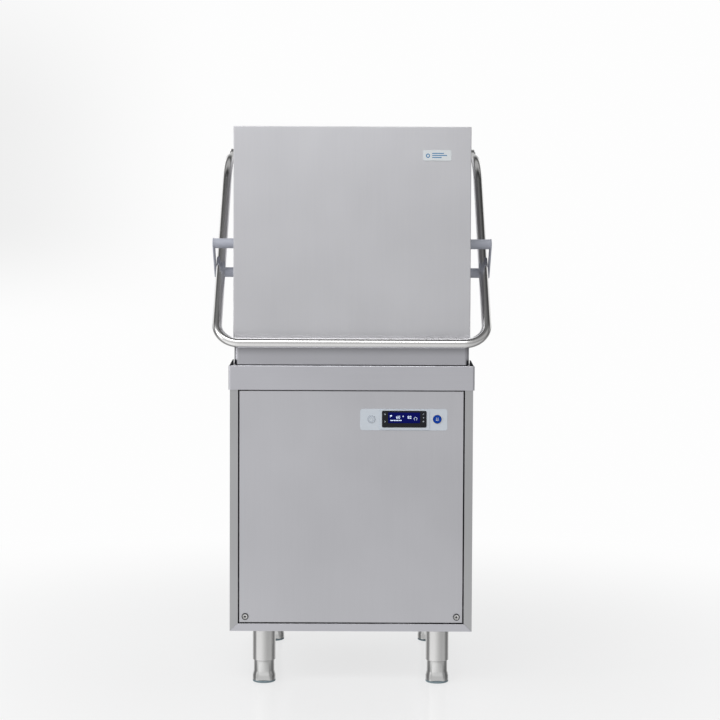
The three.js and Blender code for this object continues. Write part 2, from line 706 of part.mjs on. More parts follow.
// ---- hood ----
{
  const h = HOOD;
  const shellX = h.x - SKIN_GAP;
  const shellFront = h.front + SKIN_GAP;
  const shellTop = h.z1 - SKIN_GAP;
  const shell = cut(
    block(-shellX, shellX, shellFront, h.rear, h.z0, shellTop),
    block(
      -shellX + SHEET,
      shellX - SHEET,
      shellFront + SHEET,
      h.rear - SHEET,
      h.z0 - 9,
      shellTop - SHEET,
    ),
    block(-shellX + 15, shellX - 15, h.rear - 9, h.rear + 9, h.z0 - 9, shellTop - 10),
  );
  piece("hood_shell", shell, STEEL);
  const jacket = cut(
    block(-h.x, h.x, h.front, h.rear - 1, h.jacketZ0, h.z1),
    block(
      -h.x + JACKET_WALL,
      h.x - JACKET_WALL,
      h.front + JACKET_WALL,
      h.rear + 9,
      h.jacketZ0 - 9,
      h.z1 - JACKET_WALL,
    ),
  );
  piece("hood_jacket", jacket, PALE_STEEL);
  piece("badge", roundedPlate(181.6, 254.4, 1360, 1387, 4, h.front - 2.2, h.front - GAP), WHITE);

  for (const [side, s] of SIDES) {
    const k = STUD;
    const along = new THREE.Vector2(k.lowY - k.upY, k.lowZ - k.upZ);
    const turn = Math.atan2(along.y, along.x);
    const outline = new THREE.Shape();
    outline.absarc(k.upY, k.upZ, k.r + 1, turn + Math.PI / 2, turn + 1.5 * Math.PI, false);
    outline.absarc(k.lowY, k.lowZ, k.r + 1, turn - Math.PI / 2, turn + Math.PI / 2, false);
    const slab = (x0, x1) => {
      const depth = x1 - x0;
      const flat = new THREE.ExtrudeGeometry(outline, { depth, bevelEnabled: false, curveSegments: 6 });
      flat.rotateY(Math.PI / 2).rotateX(Math.PI / 2);
      return solid(flat.translate(s > 0 ? x0 : -x1, 0, 0));
    };
    const from = h.x + GAP;
    const reach = k.plate1 - 1;
    const stud = (y, z) => rod("x", k.r, s > 0 ? from : -reach, s > 0 ? reach : -from, y, z, 16);
    const studs = union(stud(k.upY, k.upZ), stud(k.lowY, k.lowZ));
    const plates = union(slab(k.plate0, k.plate1), slab(from, from + 6));
    piece(`hood_bracket_${side}`, union(plates, studs), GREY_PLASTIC);
  }
}

export default root;
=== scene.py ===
import math

import bmesh
import bpy
from mathutils import Matrix, Vector


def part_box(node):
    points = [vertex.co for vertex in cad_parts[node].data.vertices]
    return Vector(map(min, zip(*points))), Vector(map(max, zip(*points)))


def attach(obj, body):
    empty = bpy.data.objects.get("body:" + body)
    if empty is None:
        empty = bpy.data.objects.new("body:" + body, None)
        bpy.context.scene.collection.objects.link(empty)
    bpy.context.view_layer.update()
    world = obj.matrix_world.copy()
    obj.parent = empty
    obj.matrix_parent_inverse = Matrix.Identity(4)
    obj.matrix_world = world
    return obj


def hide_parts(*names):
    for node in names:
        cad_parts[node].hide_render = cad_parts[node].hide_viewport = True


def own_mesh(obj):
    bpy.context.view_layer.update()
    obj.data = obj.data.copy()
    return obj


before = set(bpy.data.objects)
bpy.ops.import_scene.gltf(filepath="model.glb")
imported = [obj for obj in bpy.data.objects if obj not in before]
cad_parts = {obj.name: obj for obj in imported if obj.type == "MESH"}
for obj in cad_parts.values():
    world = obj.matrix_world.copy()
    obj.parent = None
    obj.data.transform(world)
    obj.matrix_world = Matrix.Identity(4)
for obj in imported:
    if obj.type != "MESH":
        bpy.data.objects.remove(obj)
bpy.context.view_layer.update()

# ---- camera ----
# A long lens a few metres in front of the machine, at about the height of the lifting bar,
# tipped slightly down.
bpy.ops.object.select_all(action="DESELECT")
bpy.ops.object.camera_add()
camera = bpy.context.object
camera.data.sensor_width = 36.0
camera.data.lens = 80.0
camera.data.clip_start = 0.1
camera.data.clip_end = 60.0
turn = Matrix.Rotation(math.radians(-0.214), 4, "Z")
tip = Matrix.Rotation(math.radians(90 - 2.157), 4, "X")
roll = Matrix.Rotation(math.radians(0.231), 4, "Z")
camera.matrix_world = Matrix.Translation((0.006, -4.453, 1.002)) @ turn @ tip @ roll
bpy.context.scene.camera = camera

# ---- studio floor ----
# A wide pale floor, slightly glossy, that runs out to plain white so that it meets the background
# without a line. The machine's steel mirrors the room below in its place.
PAPER = 0.985


def made(tree, kind, values):
    """A new shader node of one kind with these input values."""
    node = tree.nodes.new(kind)
    for name, value in values.items():
        node.inputs[name].default_value = value
    return node


def plug(tree, source, output, target, entry):
    """Runs an output of one node into an input of another."""
    tree.links.new(source.outputs[output], target.inputs[entry])


def span(tree, source, low, high, from_value, to_value, smooth=True):
    """A value that runs from from_value to to_value while source goes from low to high."""
    ends = {"From Min": low, "From Max": high, "To Min": from_value, "To Max": to_value}
    node = made(tree, "ShaderNodeMapRange", ends)
    node.interpolation_type = "SMOOTHSTEP" if smooth else "LINEAR"
    tree.links.new(source, node.inputs["Value"])
    return node.outputs["Result"]


def worked(tree, operation, first, second):
    """The result of one arithmetic step on two values."""
    node = tree.nodes.new("ShaderNodeMath")
    node.operation = operation
    tree.links.new(first, node.inputs[0])
    tree.links.new(second, node.inputs[1])
    return node.outputs["Value"]


bpy.ops.mesh.primitive_circle_add(vertices=96, radius=24.0, fill_type="NGON", location=(0, 0, -0.0005))
floor = bpy.context.object
floor.name = "studio_floor"
floor_look = bpy.data.materials.new("studio_floor")
floor_look.use_nodes = True
tree = floor_look.node_tree
shade = tree.nodes["Principled BSDF"]
shade.inputs["Base Color"].default_value = (0.90, 0.905, 0.91, 1)
shade.inputs["Roughness"].default_value = 0.20
shade.inputs["Specular IOR Level"].default_value = 0.30
where = tree.nodes.new("ShaderNodeTexCoord")
reach = tree.nodes.new("ShaderNodeVectorMath")
reach.operation = "LENGTH"
ray = tree.nodes.new("ShaderNodeLightPath")
glow = made(tree, "ShaderNodeEmission", {"Color": (1.0, 1.0, 1.0, 1)})
blend = tree.nodes.new("ShaderNodeMixShader")
tree.links.new(where.outputs["Object"], reach.inputs[0])
tree.links.new(span(tree, reach.outputs["Value"], 0.5, 2.4, 0.70, 1.0), blend.inputs["Fac"])
glow_level = span(tree, ray.outputs["Is Camera Ray"], 0.0, 1.0, 0.45, PAPER, False)
tree.links.new(glow_level, glow.inputs["Strength"])
tree.links.new(shade.outputs["BSDF"], blend.inputs[1])
tree.links.new(glow.outputs["Emission"], blend.inputs[2])
tree.links.new(blend.outputs["Shader"], tree.nodes["Material Output"].inputs["Surface"])
floor.data.materials.append(floor_look)
floor.visible_glossy = False

# ---- soft studio light ----
# The room that the machine mirrors: a grey front, brighter to the left, white paper low behind it, a
# pale ceiling at the back, and dark flags at both sides and overhead. The lens sees white paper with a
# faint painted shadow just above the horizon on the left.
world = bpy.data.worlds.new("studio")
bpy.context.scene.world = world
world.use_nodes = True
sky = world.node_tree
sky.nodes.clear()
aim = sky.nodes.new("ShaderNodeTexCoord")
split = sky.nodes.new("ShaderNodeSeparateXYZ")
plug(sky, aim, "Generated", split, "Vector")
x_way = split.outputs["X"]
y_way = split.outputs["Y"]
z_way = split.outputs["Z"]
front = span(sky, y_way, -0.30, 0.12, 0.57, 0.07)
front = worked(sky, "MULTIPLY", front, span(sky, x_way, -0.7, 0.7, 1.36, 0.68))
front = worked(sky, "MULTIPLY", front, span(sky, z_way, 0.55, 0.9, 1.0, 0.30))
front = worked(sky, "MULTIPLY", front, span(sky, z_way, -0.12, 0.16, 0.74, 1.12))
front = worked(sky, "MULTIPLY", front, span(sky, z_way, -0.28, -0.12, 1.7, 1.0))
front = worked(sky, "ADD", front, span(sky, z_way, -0.30, -0.05, 0.08, 0.0))
sides = span(sky, y_way, -0.35, 0.05, 0.0, 0.10)
sides = worked(sky, "MULTIPLY", sides, span(sky, z_way, 0.15, 0.45, 1.0, 0.0))
behind = span(sky, y_way, 0.5, 0.85, 0.0, 0.42)
behind = worked(sky, "MULTIPLY", behind, span(sky, z_way, 0.3, 0.6, 1.0, 0.0))
ceiling = span(sky, y_way, 0.12, 0.38, 0.0, 1.0)
ceiling = worked(sky, "MULTIPLY", ceiling, span(sky, z_way, 0.66, 0.8, 0.0, 0.42))
sweep = span(sky, y_way, 0.1, 0.5, 0.0, 0.75)
sweep = worked(sky, "MULTIPLY", sweep, span(sky, z_way, 0.06, 0.22, 0.0, 1.0))
sweep = worked(sky, "MULTIPLY", sweep, span(sky, z_way, 0.4, 0.65, 1.0, 0.0))
off_centre = worked(sky, "MULTIPLY", x_way, x_way)
sweep = worked(sky, "MULTIPLY", sweep, span(sky, off_centre, 0.01, 0.12, 0.0, 1.0))
level = front
for part in (sides, behind, ceiling, sweep):
    level = worked(sky, "ADD", level, part)
room = made(sky, "ShaderNodeBackground", {"Color": (1.0, 1.0, 1.0, 1)})
sky.links.new(level, room.inputs["Strength"])
paper = made(sky, "ShaderNodeBackground", {"Color": (1.0, 1.0, 1.0, 1)})
# Painted shadow: the paper is made faintly darker in a patch just above the horizon on the left.
shadow = span(sky, x_way, -0.24, -0.08, 1.0, 0.0)
shadow = worked(sky, "MULTIPLY", shadow, span(sky, z_way, -0.02, 0.05, 0.0, 1.0))
shadow = worked(sky, "MULTIPLY", shadow, span(sky, z_way, 0.10, 0.24, 0.13, 0.0))
sky.links.new(span(sky, shadow, 0.0, 1.0, PAPER, 0.0, False), paper.inputs["Strength"])
seen = sky.nodes.new("ShaderNodeLightPath")
choose = sky.nodes.new("ShaderNodeMixShader")
out = sky.nodes.new("ShaderNodeOutputWorld")
plug(sky, seen, "Is Camera Ray", choose, "Fac")
sky.links.new(room.outputs["Background"], choose.inputs[1])
sky.links.new(paper.outputs["Background"], choose.inputs[2])
plug(sky, choose, "Shader", out, "Surface")


def soft_box(name, place, target, size, power):
    """A large soft lamp at place, aimed at target."""
    bpy.ops.object.light_add(type="AREA", location=place)
    lamp = bpy.context.object
    lamp.name = name
    lamp.data.shape = "RECTANGLE"
    lamp.data.size, lamp.data.size_y = size
    lamp.data.energy = power
    aimed = Vector(target) - Vector(place)
    lamp.rotation_mode = "QUATERNION"
    lamp.rotation_quaternion = aimed.to_track_quat("-Z", "Y")


soft_box("soft_box_front", (-0.7, -3.0, 3.6), (0, 0, 0.9), (3.0, 1.3), 46)
soft_box("soft_box_left", (-3.2, -1.6, 2.0), (0, 0, 0.8), (1.2, 2.6), 16)
soft_box("floor_light", (0.0, 0.6, 4.2), (0, 0.3, 0), (3.4, 2.6), 40)
bpy.context.object.visible_glossy = False
bpy.context.scene.view_settings.view_transform = "Standard"

# ---- base frame ----
# The folded steel tray that everything stands on: a front rail cut at 45 degrees to meet the side
# panels, low upstands, and a large opening for air and service. Satin stainless sheet.


def brushed(name, tint, rough, grain, depth=0.06):
    """Satin steel: fine lines along one direction, faint clouds of tone and smudges of gloss."""
    look = bpy.data.materials.new(name)
    look.use_nodes = True
    tree = look.node_tree
    shade = tree.nodes["Principled BSDF"]
    shade.inputs["Metallic"].default_value = 1.0
    where = tree.nodes.new("ShaderNodeTexCoord")
    stretch = made(tree, "ShaderNodeMapping", {"Scale": grain})
    lines = made(tree, "ShaderNodeTexNoise", {"Scale": 1.0, "Detail": 4.0, "Roughness": 0.6})
    clouds = made(tree, "ShaderNodeTexNoise", {"Scale": 3.2, "Detail": 3.0})
    tone = tree.nodes.new("ShaderNodeMix")
    tone.data_type = "RGBA"
    tone.inputs["A"].default_value = (tint[0] * 0.93, tint[1] * 0.93, tint[2] * 0.93, 1)
    tone.inputs["B"].default_value = (tint[0] * 1.05, tint[1] * 1.05, tint[2] * 1.05, 1)
    both = tree.nodes.new("ShaderNodeMath")
    both.operation = "MULTIPLY_ADD"
    both.inputs[1].default_value = 0.35
    gloss = made(tree, "ShaderNodeMapRange", {"To Min": rough - 0.06, "To Max": rough + 0.06})
    raised = made(tree, "ShaderNodeBump", {"Strength": depth, "Distance": 0.0004})
    plug(tree, where, "Object", stretch, "Vector")
    plug(tree, stretch, "Vector", lines, "Vector")
    plug(tree, where, "Object", clouds, "Vector")
    tree.links.new(lines.outputs["Fac"], both.inputs[0])
    tree.links.new(clouds.outputs["Fac"], both.inputs[2])
    plug(tree, both, "Value", tone, "Factor")
    plug(tree, tone, "Result", shade, "Base Color")
    plug(tree, both, "Value", gloss, "Value")
    plug(tree, gloss, "Result", shade, "Roughness")
    plug(tree, lines, "Fac", raised, "Height")
    plug(tree, raised, "Normal", shade, "Normal")
    return look


def to_mode(mode):
    """Goes to EDIT or OBJECT mode."""
    bpy.ops.object.mode_set(mode=mode)


def select_mesh(action="SELECT"):
    """Selects all of the mesh in hand, or none of it."""
    bpy.ops.mesh.select_all(action=action)


def only(piece):
    """Object mode, with this piece alone selected and active."""
    if bpy.context.object and bpy.context.object.mode != "OBJECT":
        to_mode("OBJECT")
    bpy.ops.object.select_all(action="DESELECT")
    piece.select_set(True)
    bpy.context.view_layer.objects.active = piece


def even_shading(piece, sharp=35):
    """Smooth shading in which the broad flat faces stay flat."""
    only(piece)
    bpy.ops.object.shade_smooth_by_angle(angle=math.radians(sharp))
    flat = piece.modifiers.new("flat", "WEIGHTED_NORMAL")
    flat.keep_sharp = True
    flat.weight = 100
    bpy.ops.object.modifier_apply(modifier=flat.name)


def soften(piece, width, segments=2, sharp=30):
    """Rounds the piece's sharp edges and smooths what lies between them."""
    only(piece)
    bevel = piece.modifiers.new("edges", "BEVEL")
    bevel.width = width
    bevel.segments = segments
    bevel.limit_method = "ANGLE"
    bevel.angle_limit = math.radians(sharp)
    bpy.ops.object.modifier_apply(modifier=bevel.name)
    even_shading(piece, sharp + 5)


def settle(piece, body, slot, look, *nodes):
    """Hands a finished piece to its body, material and the solids that it stands for. The slot is not used.
    """
    piece.data.materials.clear()
    piece.data.materials.append(look)
    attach(piece, body)
    if nodes:
        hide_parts(*nodes)
    return piece


def dressed(node, name, width, segments=2):
    """A finished copy of a plain solid: merged, with its flat faces joined and its edges rounded."""
    piece = bpy.data.objects.new(name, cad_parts[node].data.copy())
    bpy.context.scene.collection.objects.link(piece)
    only(piece)
    to_mode("EDIT")
    select_mesh()
    bpy.ops.mesh.remove_doubles(threshold=0.00002)
    bpy.ops.mesh.dissolve_limited(angle_limit=math.radians(1.0))
    to_mode("OBJECT")
    soften(piece, width, segments)
    return piece


def fitted(node, name, width, body, slot, look, segments=2):
    """A plain solid's finished copy, put in that solid's place."""
    settle(dressed(node, name, width, segments), body, slot, look, node)


steel_across = brushed("satin_steel_across", (0.72, 0.72, 0.765), 0.31, (9, 420, 420))
steel_upright = brushed("satin_steel_upright", (0.59, 0.595, 0.605), 0.33, (420, 420, 9))
fitted("base_frame", "base_frame_folded", 0.0006, "cabinet", "brushed_steel", steel_across)

# ---- cabinet side panels ----
# Two large folded sheets: each wraps round to the front as a narrow stile and to the back as a lip.
# Satin stainless with an upright grain, screwed to the base frame from inside.
for side in ("left", "right"):
    panel = dressed(f"{side}_side_panel", f"{side}_panel_folded", 0.0009)
    settle(panel, "cabinet", "brushed_steel", steel_upright, f"{side}_side_panel")

# ---- rear panel ----
# A flat service sheet at the back of the cabinet, pierced with cooling slots and held by eight small
# round-headed screws.
fitted("rear_panel", "rear_panel_sheet", 0.0005, "cabinet", "brushed_steel", steel_upright)


def turned(name, profile, centre, steps=64):
    """Draws a profile of (radius, height) points beside an upright axis, then spins it round."""
    bpy.ops.object.select_all(action="DESELECT")
    radius, height = profile[0]
    bpy.ops.mesh.primitive_plane_add(size=0.001, location=(centre[0] + radius, centre[1], height))
    piece = bpy.context.object
    piece.name = name
    bpy.ops.object.transform_apply(location=True, rotation=True, scale=True)
    to_mode("EDIT")
    bpy.ops.mesh.select_mode(type="VERT")
    select_mesh()
    bpy.ops.mesh.merge(type="CENTER")
    for (r0, z0), (r1, z1) in zip(profile, profile[1:]):
        bpy.ops.mesh.extrude_vertices_move(TRANSFORM_OT_translate={"value": (r1 - r0, 0, z1 - z0)})
    select_mesh()
    bpy.ops.mesh.spin(steps=steps, angle=math.tau, center=(centre[0], centre[1], 0), axis=(0, 0, 1))
    select_mesh()
    bpy.ops.mesh.remove_doubles(threshold=0.00001)
    bpy.ops.mesh.normals_make_consistent(inside=False)
    to_mode("OBJECT")
    bpy.ops.object.shade_smooth_by_angle(angle=math.radians(32))
    return piece


TOWARDS = {
    "front": Matrix.Rotation(math.radians(90), 4, "X"),
    "back": Matrix.Rotation(math.radians(-90), 4, "X"),
    "left": Matrix.Rotation(math.radians(-90), 4, "Y"),
    "right": Matrix.Rotation(math.radians(90), 4, "Y"),
}


def turned_on(name, profile, place, way, steps=48):
    """A turned piece whose axis points front, back, left or right from place."""
    piece = turned(name, profile, (0, 0), steps)
    piece.data.transform(Matrix.Translation(place) @ TOWARDS[way])
    return piece


def joined(name, pieces):
    """Several finished meshes as one piece."""
    only(pieces[0])
    for other in pieces[1:]:
        other.select_set(True)
    if len(pieces) > 1:
        bpy.ops.object.join()
    bpy.context.object.name = name
    return bpy.context.object


ROUND_HEAD = [(0.0, 0.0022), (0.0022, 0.0020), (0.0036, 0.0012), (0.0042, 0.0), (0.0, -0.0004)]
tube_steel = brushed("semi_bright_tube", (0.80, 0.795, 0.79), 0.15, (50, 50, 50), 0.015)
low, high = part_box("rear_panel")
heads = [
    turned_on("screw", ROUND_HEAD, (x, high.y, z), "back", 20)
    for x in (-0.28, -0.094, 0.094, 0.28)
    for z in (low.z + 0.012, high.z - 0.03)
]
settle(joined("rear_panel_screws", heads), "cabinet", "tube_steel", tube_steel)

# ---- legs and levelling feet ----
# Four stainless tubes under the cabinet. In each sits a turned foot that screws up and down, with two
# flats for a spanner above a blue-grey rubber ring.
FLAT_REACH = 0.0235
FLAT_TOP = 0.0290
turned_steel = brushed("turned_foot_steel", (0.70, 0.70, 0.695), 0.18, (40, 40, 300), 0.03)


def moulded(name, tint, rough, pebble=0.15, scale=420.0, vary=0.10, shine=0.5):
    """Moulded plastic, rubber or paint: a fine pebbled skin with a slight mottle of tone and gloss."""
    look = bpy.data.materials.new(name)
    look.use_nodes = True
    tree = look.node_tree
    shade = tree.nodes["Principled BSDF"]
    shade.inputs["Specular IOR Level"].default_value = shine
    where = tree.nodes.new("ShaderNodeTexCoord")
    fine = made(tree, "ShaderNodeTexNoise", {"Scale": scale, "Detail": 3.0})
    cloud = made(tree, "ShaderNodeTexNoise", {"Scale": 14.0, "Detail": 2.0})
    tone = tree.nodes.new("ShaderNodeMix")
    tone.data_type = "RGBA"
    tone.inputs["A"].default_value = tuple(c * (1 - vary) for c in tint) + (1,)
    tone.inputs["B"].default_value = tuple(min(1.0, c * (1 + vary)) for c in tint) + (1,)
    gloss = made(tree, "ShaderNodeMapRange", {"To Min": rough - 0.07, "To Max": rough + 0.07})
    raised = made(tree, "ShaderNodeBump", {"Strength": pebble, "Distance": 0.0002})
    plug(tree, where, "Object", fine, "Vector")
    plug(tree, where, "Object", cloud, "Vector")
    plug(tree, cloud, "Fac", tone, "Factor")
    plug(tree, tone, "Result", shade, "Base Color")
    plug(tree, fine, "Fac", gloss, "Value")
    plug(tree, gloss, "Result", shade, "Roughness")
    plug(tree, fine, "Fac", raised, "Height")
    plug(tree, raised, "Normal", shade, "Normal")
    return look


rubber = moulded("foot_rubber_moulded", (0.25, 0.33, 0.37), 0.6, 0.25)
for corner in ("front_left", "front_right", "rear_left", "rear_right"):
    low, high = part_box(f"leg_{corner}")
    middle = (low + high) / 2
    foot_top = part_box(f"foot_{corner}")[1].z
    tube = [
        (0.0, high.z - 0.006), (0.0276, high.z - 0.006), (0.0276, low.z + 0.0006), (0.0282, low.z),
        (0.0294, low.z), (0.03, low.z + 0.0006), (0.03, high.z - 0.0042),
        (0.0306, high.z - 0.0036), (0.0372, high.z - 0.0030), (0.038, high.z - 0.0022),
        (0.038, high.z - 0.0004), (0.0376, high.z), (0.0, high.z),
    ]
    leg = turned(f"leg_tube_{corner}", tube, middle)
    settle(leg, "cabinet", "tube_steel", tube_steel, f"leg_{corner}")
    insert = [
        (0.0, 0.0056), (0.0296, 0.0056), (0.0299, 0.0060), (0.0299, 0.0180), (0.0272, 0.0280),
        (0.0268, 0.0300), (0.0268, 0.0560), (0.0268, foot_top - 0.003), (0.0250, foot_top),
        (0.0, foot_top),
    ]
    foot = turned(f"foot_insert_{corner}", insert, middle)
    to_mode("EDIT")
    cone = bmesh.from_edit_mesh(foot.data)
    for outward in (Vector((0, 1, 0)), Vector((0, -1, 0))):
        for v in cone.verts:
            reach = (v.co - middle).dot(outward)
            if v.co.z < FLAT_TOP and reach > FLAT_REACH:
                v.co -= outward * (reach - FLAT_REACH)
    bmesh.update_edit_mesh(foot.data)
    to_mode("OBJECT")
    settle(foot, f"foot_{corner}_body", "tube_steel", turned_steel, f"foot_{corner}")
    ring = [
        (0.0, 0.0002), (0.0240, 0.0), (0.0276, 0.0004), (0.0294, 0.0014), (0.0300, 0.0028),
        (0.0300, 0.0044), (0.0295, 0.0051), (0.0, 0.0053),
    ]
    pad = turned(f"foot_rubber_{corner}", ring, middle)
    settle(pad, f"foot_{corner}_body", "foot_rubber", rubber)

# ---- machinery in the base ----
# Wash pump with its open volute, impeller and finned motor, the rinse boiler, the drain pump and the
# detergent doser: all stand on the base frame and are seen from below or with the panels off.
grey_moulding = moulded("glass_filled_grey", (0.33, 0.37, 0.42), 0.5, 0.3, 300.0)
black_moulding = moulded("black_moulding", (0.008, 0.009, 0.012), 0.42, 0.15, 420.0, 0.10, 0.3)
white_moulding = moulded("white_moulding", (0.78, 0.80, 0.81), 0.42)
cast_paint = moulded("cast_grey_paint", (0.055, 0.058, 0.062), 0.5, 0.7, 160.0, 0.2)
vessel_steel = brushed("boiler_steel", (0.66, 0.66, 0.66), 0.3, (14, 14, 260), 0.05)
fitted("pump_volute", "pump_volute_moulded", 0.0015, "cabinet", "grey_plastic", grey_moulding)
fitted("pump_impeller", "pump_impeller_cast", 0.0006, "impeller", "tube_steel", turned_steel)
fitted("pump_motor", "pump_motor_cast", 0.0012, "cabinet", "cast_motor", cast_paint)
fitted("rinse_boiler", "rinse_boiler_vessel", 0.0010, "cabinet", "brushed_steel", vessel_steel)
fitted("drain_pump", "drain_pump_moulded", 0.0015, "cabinet", "black_plastic", black_moulding)
fitted("doser_unit", "doser_moulded", 0.0025, "cabinet", "white_plastic", white_moulding)

# ---- electrical box and control board ----
# An open steel box for the relays behind the front panel, and the green board behind the fascia
# that carries the display and both switches.
board_green = moulded("board_laminate", (0.02, 0.13, 0.05), 0.35, 0.5, 900.0, 0.25)
fitted("electrical_box", "electrical_box_folded", 0.0004, "cabinet", "brushed_steel", steel_across)
fitted("control_board", "control_board_laminate", 0.0002, "cabinet", "circuit_board", board_green)

# ---- front service panel ----
# A shallow folded pan that closes the front of the cabinet. It hooks in at the top under the worktop's
# rim and is held by two quarter-turn screws with square sockets at its lower corners.
front_steel = brushed("fine_front_steel", (0.69, 0.69, 0.725), 0.36, (300, 300, 6), 0.035)
fitted("front_panel", "front_panel_pan", 0.0012, "cabinet", "front_steel", front_steel, 3)
QUARTER_TURN = [
    (0.0, 0.0006), (0.0016, 0.0006), (0.0022, 0.0012), (0.0048, 0.0015), (0.0054, 0.0009),
    (0.0058, 0.0001), (0.0062, 0.0001), (0.0066, 0.0024), (0.0072, 0.0030), (0.0080, 0.0028),
    (0.0084, 0.0020), (0.0084, -0.0009), (0.0, -0.0009),
]
COLLAR = [
    (0.0066, 0.0006), (0.0066, 0.0031), (0.0076, 0.0034), (0.0086, 0.0030), (0.0088, 0.0006),
    (0.0066, 0.0006),
]
SOCKET = [(0.0, 0.0010), (0.0030, 0.0010), (0.0034, 0.0018), (0.0, 0.0018)]
screw_dark = brushed("dark_anodised", (0.055, 0.055, 0.06), 0.40, (200, 200, 200), 0.02)
for side in ("left", "right"):
    low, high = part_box(f"panel_screw_{side}")
    middle = (low + high) / 2
    place = Vector((middle.x, low.y + 0.0030, middle.z))
    head = turned_on(f"panel_screw_head_{side}", QUARTER_TURN, place, "front")
    settle(head, "cabinet", "tube_steel", tube_steel, f"panel_screw_{side}")
    collar = turned_on(f"panel_screw_collar_{side}", COLLAR, place + Vector((0, 0.0003, 0)), "front")
    settle(collar, "cabinet", "black_plastic", screw_dark)
    key = turned_on(f"panel_screw_key_{side}", SOCKET, place, "front", 4)
    settle(key, "cabinet", "black_plastic", screw_dark)

# ---- control fascia ----
# A pale blue-grey moulded strip stuck to the front panel, with a slightly raised middle inside a fine
# groove, round openings for the two buttons and a window for the display.


def box_piece(name, low, high):
    """A cube primitive at its size and place, ready to be shaped."""
    bpy.ops.object.select_all(action="DESELECT")
    middle = (Vector(low) + Vector(high)) / 2
    bpy.ops.mesh.primitive_cube_add(size=1, location=middle)
    piece = bpy.context.object
    piece.name = name
    piece.scale = Vector(high) - Vector(low)
    bpy.ops.object.transform_apply(location=True, rotation=True, scale=True)
    return piece


def pick(piece, wanted):
    """Edit mode, with only the faces selected for which wanted(centre, normal) holds."""
    only(piece)
    to_mode("EDIT")
    bpy.ops.mesh.select_mode(type="FACE")
    select_mesh("DESELECT")
    faces = bmesh.from_edit_mesh(piece.data).faces
    for face in faces:
        face.select = bool(wanted(face.calc_center_median(), face.normal))
    bmesh.update_edit_mesh(piece.data)


def bevel_edges(piece, wanted, width, segments=4):
    """Rounds the edges for which wanted(middle, direction) holds."""
    only(piece)
    to_mode("EDIT")
    bpy.ops.mesh.select_mode(type="EDGE")
    select_mesh("DESELECT")
    edges = bmesh.from_edit_mesh(piece.data).edges
    for edge in edges:
        middle = (edge.verts[0].co + edge.verts[1].co) / 2
        along = (edge.verts[1].co - edge.verts[0].co).normalized()
        edge.select = bool(wanted(middle, along))
    bmesh.update_edit_mesh(piece.data)
    bpy.ops.mesh.bevel(offset=width, segments=segments, affect="EDGES")
    to_mode("OBJECT")


def carve(piece, cutter, operation="DIFFERENCE"):
    """Cuts one closed mesh from another and drops the cutter."""
    only(piece)
    knife = piece.modifiers.new("cut", "BOOLEAN")
    knife.operation = operation
    knife.solver = "EXACT"
    knife.object = cutter
    bpy.ops.object.modifier_apply(modifier=knife.name)
    bpy.data.objects.remove(cutter)


def rounded_plate(name, low, high, radius, edge, segments=8):
    """A plate facing front or back, with round corners and a fine bevel round its front edge."""
    plate = box_piece(name, low, high)
    bevel_edges(plate, lambda m, d: abs(d.y) > 0.9, radius, segments)
    if edge:
        bevel_edges(plate, lambda m, d: abs(m.y - low[1]) < 0.00002 and abs(d.y) < 0.5, edge, 2)
    return plate


low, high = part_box("control_fascia")
face_y = low.y + 0.0014
fascia = rounded_plate("control_fascia_strip", (low.x, face_y, low.z), high, 0.0065, 0.0006)
RAISED_LEFT, RAISED_RIGHT = 0.0728, 0.2012
raised_low = (RAISED_LEFT, low.y, low.z + 0.0017)
raised_high = (RAISED_RIGHT, face_y + 0.0010, high.z - 0.0017)
raised = rounded_plate("middle", raised_low, raised_high, 0.005, 0.0004)
groove_low = (RAISED_LEFT - 0.0012, face_y - 0.001, low.z + 0.0007)
groove_high = (RAISED_RIGHT + 0.0012, face_y + 0.0004, high.z - 0.0007)
groove = rounded_plate("groove", groove_low, groove_high, 0.006, 0)
carve(fascia, groove)
carve(fascia, raised, "UNION")
button_room = {}
for key in ("power_button", "start_button"):
    k_low, k_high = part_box(key)
    middle = (k_low + k_high) / 2
    room = (k_high.x - k_low.x) / 2 + 0.0005
    button_room[key] = (middle, room)
    bpy.ops.object.select_all(action="DESELECT")
    bpy.ops.mesh.primitive_cylinder_add(
        vertices=64,
        radius=room,
        depth=0.03,
        location=(middle.x, high.y, middle.z),
        rotation=(math.pi / 2, 0, 0),
    )
    carve(fascia, bpy.context.object)
s_low, s_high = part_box("display_screen")


def window_block(clearance):
    """A block the size of the display screen and its clearance, that passes right through the front."""
    block_low = (s_low.x - clearance, low.y - 0.01, s_low.z - clearance)
    block_high = (s_high.x + clearance, high.y + 0.01, s_high.z + clearance)
    return box_piece("window", block_low, block_high)


carve(fascia, window_block(0.0004))
even_shading(fascia, 32)
fascia_look = moulded("fascia_moulding", (0.72, 0.775, 0.84), 0.42, 0.08, 500.0, 0.03)
settle(fascia, "cabinet", "fascia_plastic", fascia_look, "control_fascia")

start_middle, room = button_room["start_button"]
halo = [(room, -0.0003), (room, 0.0005), (room + 0.0026, 0.0004), (room + 0.0029, -0.0003), (room, -0.0003)]
collar = turned_on("start_key_collar", halo, (start_middle.x, face_y, start_middle.z), "front", 64)
settle(collar, "cabinet", "white_plastic", white_moulding)

# ---- display ----
# A black bezel round a blue backlit window. Pale digits, a small flag, rings and a row of bars show
# through the glass, and small touch marks stand beside it on the bezel.
low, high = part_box("display_bezel")
bezel = rounded_plate("display_bezel_moulded", low, high, 0.0038, 0.0005, 6)
carve(bezel, window_block(0.0003))
even_shading(bezel, 32)
settle(bezel, "cabinet", "black_plastic", black_moulding, "display_bezel")

